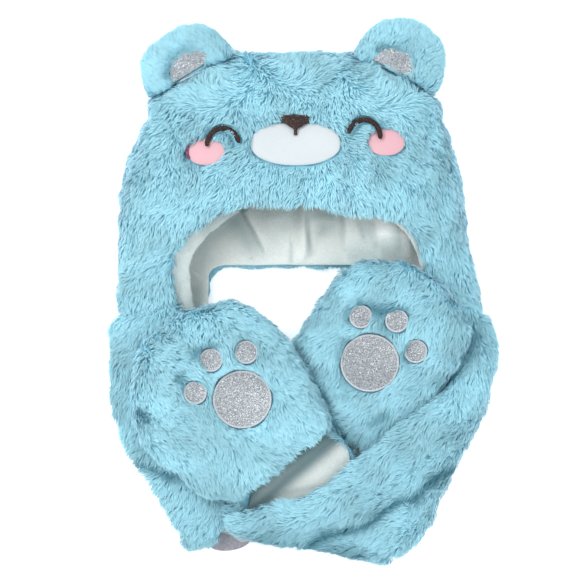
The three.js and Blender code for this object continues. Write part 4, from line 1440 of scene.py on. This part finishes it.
# Shade painted in the creases of the tails' plush and linings.
CUFF = CreaseShade(6.5 * MM, 0.8, ((250, 514), (266, 498), (291, 475), (324, 448), (336, 437)))
UNDER = CreaseShade(10 * MM, 1.0, ((240, 505), (256, 484), (283, 462), (318, 438), (334, 426)))
PEEP = CreaseShade(8 * MM, 0.6, ((220, 526), (252, 546)))
EDGE = CreaseShade(2.6 * MM, 0.7, ((344, 434), (352, 444), (360, 456)))
FOLD = CreaseShade(2.4 * MM, 0.25, ((285, 491), (345, 480)))
CORNER = CreaseShade(3.5 * MM, 0.75, ((135, 458), (178, 472)))
ROLL = CreaseShade(4 * MM, 0.7, ((473, 331), (468, 350), (461, 363), (442, 387), (427, 398)))
GROOVE = CreaseShade(4.5 * MM, 0.85, ((452, 462), (412, 494), (369, 519), (327, 536), (306, 545)))
HEM = CreaseShade(14 * MM, 1.0, ((268, 548), (308, 557), (356, 563)))


@dataclass
class Tail:
    """A tail: its plush, its fleece lining and its pile."""

    side: str  # left or right, as seen
    strands: int  # strands of its pile
    seed: int  # number that sets its pile and its unevenness
    ways: list  # the nap's ways
    creases: tuple  # creases whose shade is painted on the plush
    fold_shades: tuple  # creases whose shade is painted on the lining
    pushes: tuple  # pushes on the plush
    lining_pushes: tuple = ()  # pushes on the lining

    def build(self) -> None:
        """Makes the tail."""
        name = f"{self.side}_tail"
        plush = Cloth(
            f"{name}_fur",
            f"{name}_plush",
            smooth=2,
            relief=1.1 * MM,
            seed=self.seed,
            inset=-0.6 * MM,
            make=Make.LOFTED,
            shape=pushed(self.pushes),
        ).build()
        BACKING.dress(plush)
        lining = Cloth(
            f"{name}_lining",
            f"{name}_fleece",
            smooth=1,
            relief=0.5 * MM,
            hump=24 * MM,
            seed=self.seed,
            make=Make.LOFTED,
            finer=3 if self.lining_pushes else 2,
            shape=pushed(self.lining_pushes),
            creases=self.fold_shades,
        ).build()
        FLEECE.dress(lining)
        coat = Coat(f"{name}_pile", self.strands, 10 * MM, self.seed, self.ways, creases=self.creases)
        coat.grow(plush, Room(f"{name}_fur"))


TAILS = (
    Tail(
        "left",
        42000,
        61,
        [(-0.12, -0.08, -0.3, -1.0, 0.08), (-0.1, -0.17, -0.2, -0.9, 0.08)],
        (CORNER,),
        (CUFF, UNDER, PEEP),
        (
            Push((118, 322), 14 * MM, (-3.5 * MM, 0)),
            Push((116, 345), 34 * MM, (-2 * MM, 0)),
            Push((178, 528), 14 * MM, (-3.5 * MM, -1.5 * MM)),
            Push((118, 415), 40 * MM, (-6.5 * MM, 0)),
            Push((192, 538), 16 * MM, (-2 * MM, -7 * MM)),
        ),
    ),
    Tail(
        "right",
        51000,
        67,
        [(0.14, -0.03, 0.3, -1.0, 0.06), (0.08, -0.15, -0.9, -0.5, 0.09), (-0.02, -0.21, -1.0, -0.1, 0.08)],
        (ROLL, GROOVE, HEM),
        (CUFF, UNDER, EDGE, FOLD, PEEP),
        (
            Push((388, 560), 22 * MM, (1 * MM, -4 * MM)),
            Push((496, 338), 20 * MM, (3.5 * MM, 0)),
            Push((424, 530), 20 * MM, (3 * MM, -1 * MM)),
        ),
        (Push((345, 447), 17 * MM, (7.5 * MM, 7.5 * MM)),),
    ),
)


@dataclass
class Lobe:
    """The end of the lining that peeps out of the fold at the lower left, its fleece coloured dark as painted
    shade.
    """

    place: tuple[float, float] = seen(229, 531)  # its middle in plan
    half: tuple[float, float, float] = (21 * MM, 17.5 * MM, 5.5 * MM)  # half its width, length and height
    lift: float = 6 * MM  # height of its middle

    def build(self) -> None:
        """Makes the lobe."""
        piece = shown("left_fold_fleece", bpy.data.meshes.new("left_fold_fleece"))
        reworked(piece, lambda made: bmesh.ops.create_icosphere(made, subdivisions=4, radius=1.0))
        points, _ = mesh_arrays(piece.data)
        points *= np.array(self.half) * (1 + 0.09 * ripple(points, 1.3, 17))[:, None]
        points += np.array([*self.place, self.lift])
        points[:, 2] = np.maximum(points[:, 2], CLOTH_CLEARANCE)
        piece.data.vertices.foreach_set("co", points.reshape(-1))
        smooth_faces(piece.data)
        piece.data.update()
        # Fleece painted dark as shade.
        SHADED_FLEECE.dress(piece, fill=0.3)


@dataclass
class Seam:
    """The plush over the seam between the hood and a tail."""

    side: str  # left or right, as seen
    start: float  # its left end, across
    end: float  # its right end, across
    strands: int  # strands of its pile
    seed: int  # number that sets its pile
    width: float = 15 * MM  # its width along the tail
    thickness: float = 4 * MM

    # The strip's section: shares of half its width along, and of its thickness up.
    SECTION = ((1, -0.5), (0.6, 0), (0, 0.2), (-0.6, 0), (-1, -0.5), (-0.6, -1), (0.6, -1))

    def build(self) -> None:
        """Makes the seam's strip and its pile."""
        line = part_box("hood_fur")[0].y
        beside = ((tree_of(["hood_fur"]), 6 * MM), (tree_of([f"{self.side}_tail_fur"]), -6 * MM))
        across = np.linspace(self.start, self.end, 40)
        down = Vector((0, 0, -1))
        rows = []
        for x in across:
            above = [tree.ray_cast(Vector((x, line + step, 1)), down)[0] for tree, step in beside]
            heights = [spot.z for spot in above if spot is not None]
            top = min(heights) - 0.8 * MM if heights else 8 * MM
            half = self.width / 2
            rows += [(x, line + half * along, top + lift * self.thickness) for along, lift in self.SECTION]
        wide = len(self.SECTION)
        faces = grid_faces(len(across), wide) + end_faces(len(across), wide)
        strip = new_piece(f"{self.side}_seam_plush", np.array(rows), faces, outward=True)
        BACKING.dress(strip, fill=0.2)
        ways = [((self.start + self.end) / 2, line, -0.1, -1.0, 0.2)]
        room = Room("hood_fur", ("hood_lining", f"{self.side}_tail_fur", f"{self.side}_tail_lining"))
        Coat(f"{self.side}_seam_pile", self.strands, 8.5 * MM, self.seed, ways).grow(strip, room)


@dataclass(frozen=True)
class Studio:
    """The pale floor, the soft light and the camera above."""

    centre: tuple[float, float] = (-11.2 * MM, -2.3 * MM)  # the middle of the photograph's frame, in plan
    width: float = 493 * MM  # how much of the floor the frame shows
    distance: float = 5.0  # how high the camera is

    def floor(self) -> None:
        """Makes the floor."""
        half = 3.0
        points = np.array([(-half, -half, 0), (half, -half, 0), (half, half, 0), (-half, half, 0)], float)
        floor = new_piece("floor", points, [(0, 1, 2, 3)])
        material, _, shader = Finish("floor_white", None, (0.93, 0.93, 0.93)).start()
        shader.inputs["Emission Color"].default_value = (1.0, 1.0, 1.0, 1)
        shader.inputs["Emission Strength"].default_value = 0.42
        floor.data.materials.append(material)
        floor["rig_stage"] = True

    def lamp(self, name: str, place: tuple, size: float, power: float) -> None:
        """Hangs a soft light that looks at the object.

        Args:
            name: its name.
            place: where it hangs.
            size: how wide it is.
            power: its power in watts.
        """
        data = bpy.data.lights.new(name, "AREA")
        data.shape = "DISK"
        data.size = size
        data.energy = power
        lamp = shown(name, data)
        lamp.location = place
        lamp.rotation_euler = (-Vector(place)).to_track_quat("-Z", "Y").to_euler()

    def camera(self) -> None:
        """Makes the camera, which looks straight down."""
        data = bpy.data.cameras.new("camera")
        data.sensor_width = 36
        data.lens = data.sensor_width * self.distance / self.width
        camera = shown("camera", data)
        camera.location = (*self.centre, self.distance)
        bpy.context.scene.camera = camera

    def build(self) -> None:
        """Makes the whole studio."""
        scene = bpy.context.scene
        scene.view_settings.view_transform = "Standard"
        scene.view_settings.look = "None"
        scene.world = bpy.data.worlds.new("studio")
        scene.world.use_nodes = True
        sky = scene.world.node_tree.nodes["Background"]
        sky.inputs["Color"].default_value = (0.95, 0.98, 1.0, 1)
        sky.inputs["Strength"].default_value = 0.85
        self.floor()
        self.camera()
        self.lamp("key_light", (-1.3, 0.9, 1.9), 1.1, 30)
        self.lamp("fill_light", (0.9, -0.6, 1.8), 1.6, 11)


def main() -> None:
    logging.basicConfig(level=logging.INFO, format="%(name)s: %(message)s")
    Studio().build()
    clear = Face().build()
    Hood().build(clear)
    Ear("left", (-0.5, 0.85), 41).build()
    Ear("right", (0.5, 0.85), 47).build()
    Paw("left", 128.4, 34000, 31).build()
    Paw("right", 57.7, 32000, 37).build()
    for tail in TAILS:
        tail.build()
    Lobe().build()
    Seam("left", -0.15, -0.092, 1500, 71).build()
    Seam("right", 0.12, 0.148, 800, 73).build()
    made = [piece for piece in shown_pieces() if "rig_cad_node" not in piece]
    for piece in made:
        if "fleece" in piece.name or "plush" in piece.name:
            LOG.info("%s: cloth area %.4f", piece.name, sum(face.area for face in piece.data.polygons) / 2)
    LOG.info("%d triangles", sum(len(mesh_arrays(piece.data)[1]) for piece in made))


if __name__ == "__main__":
    main()
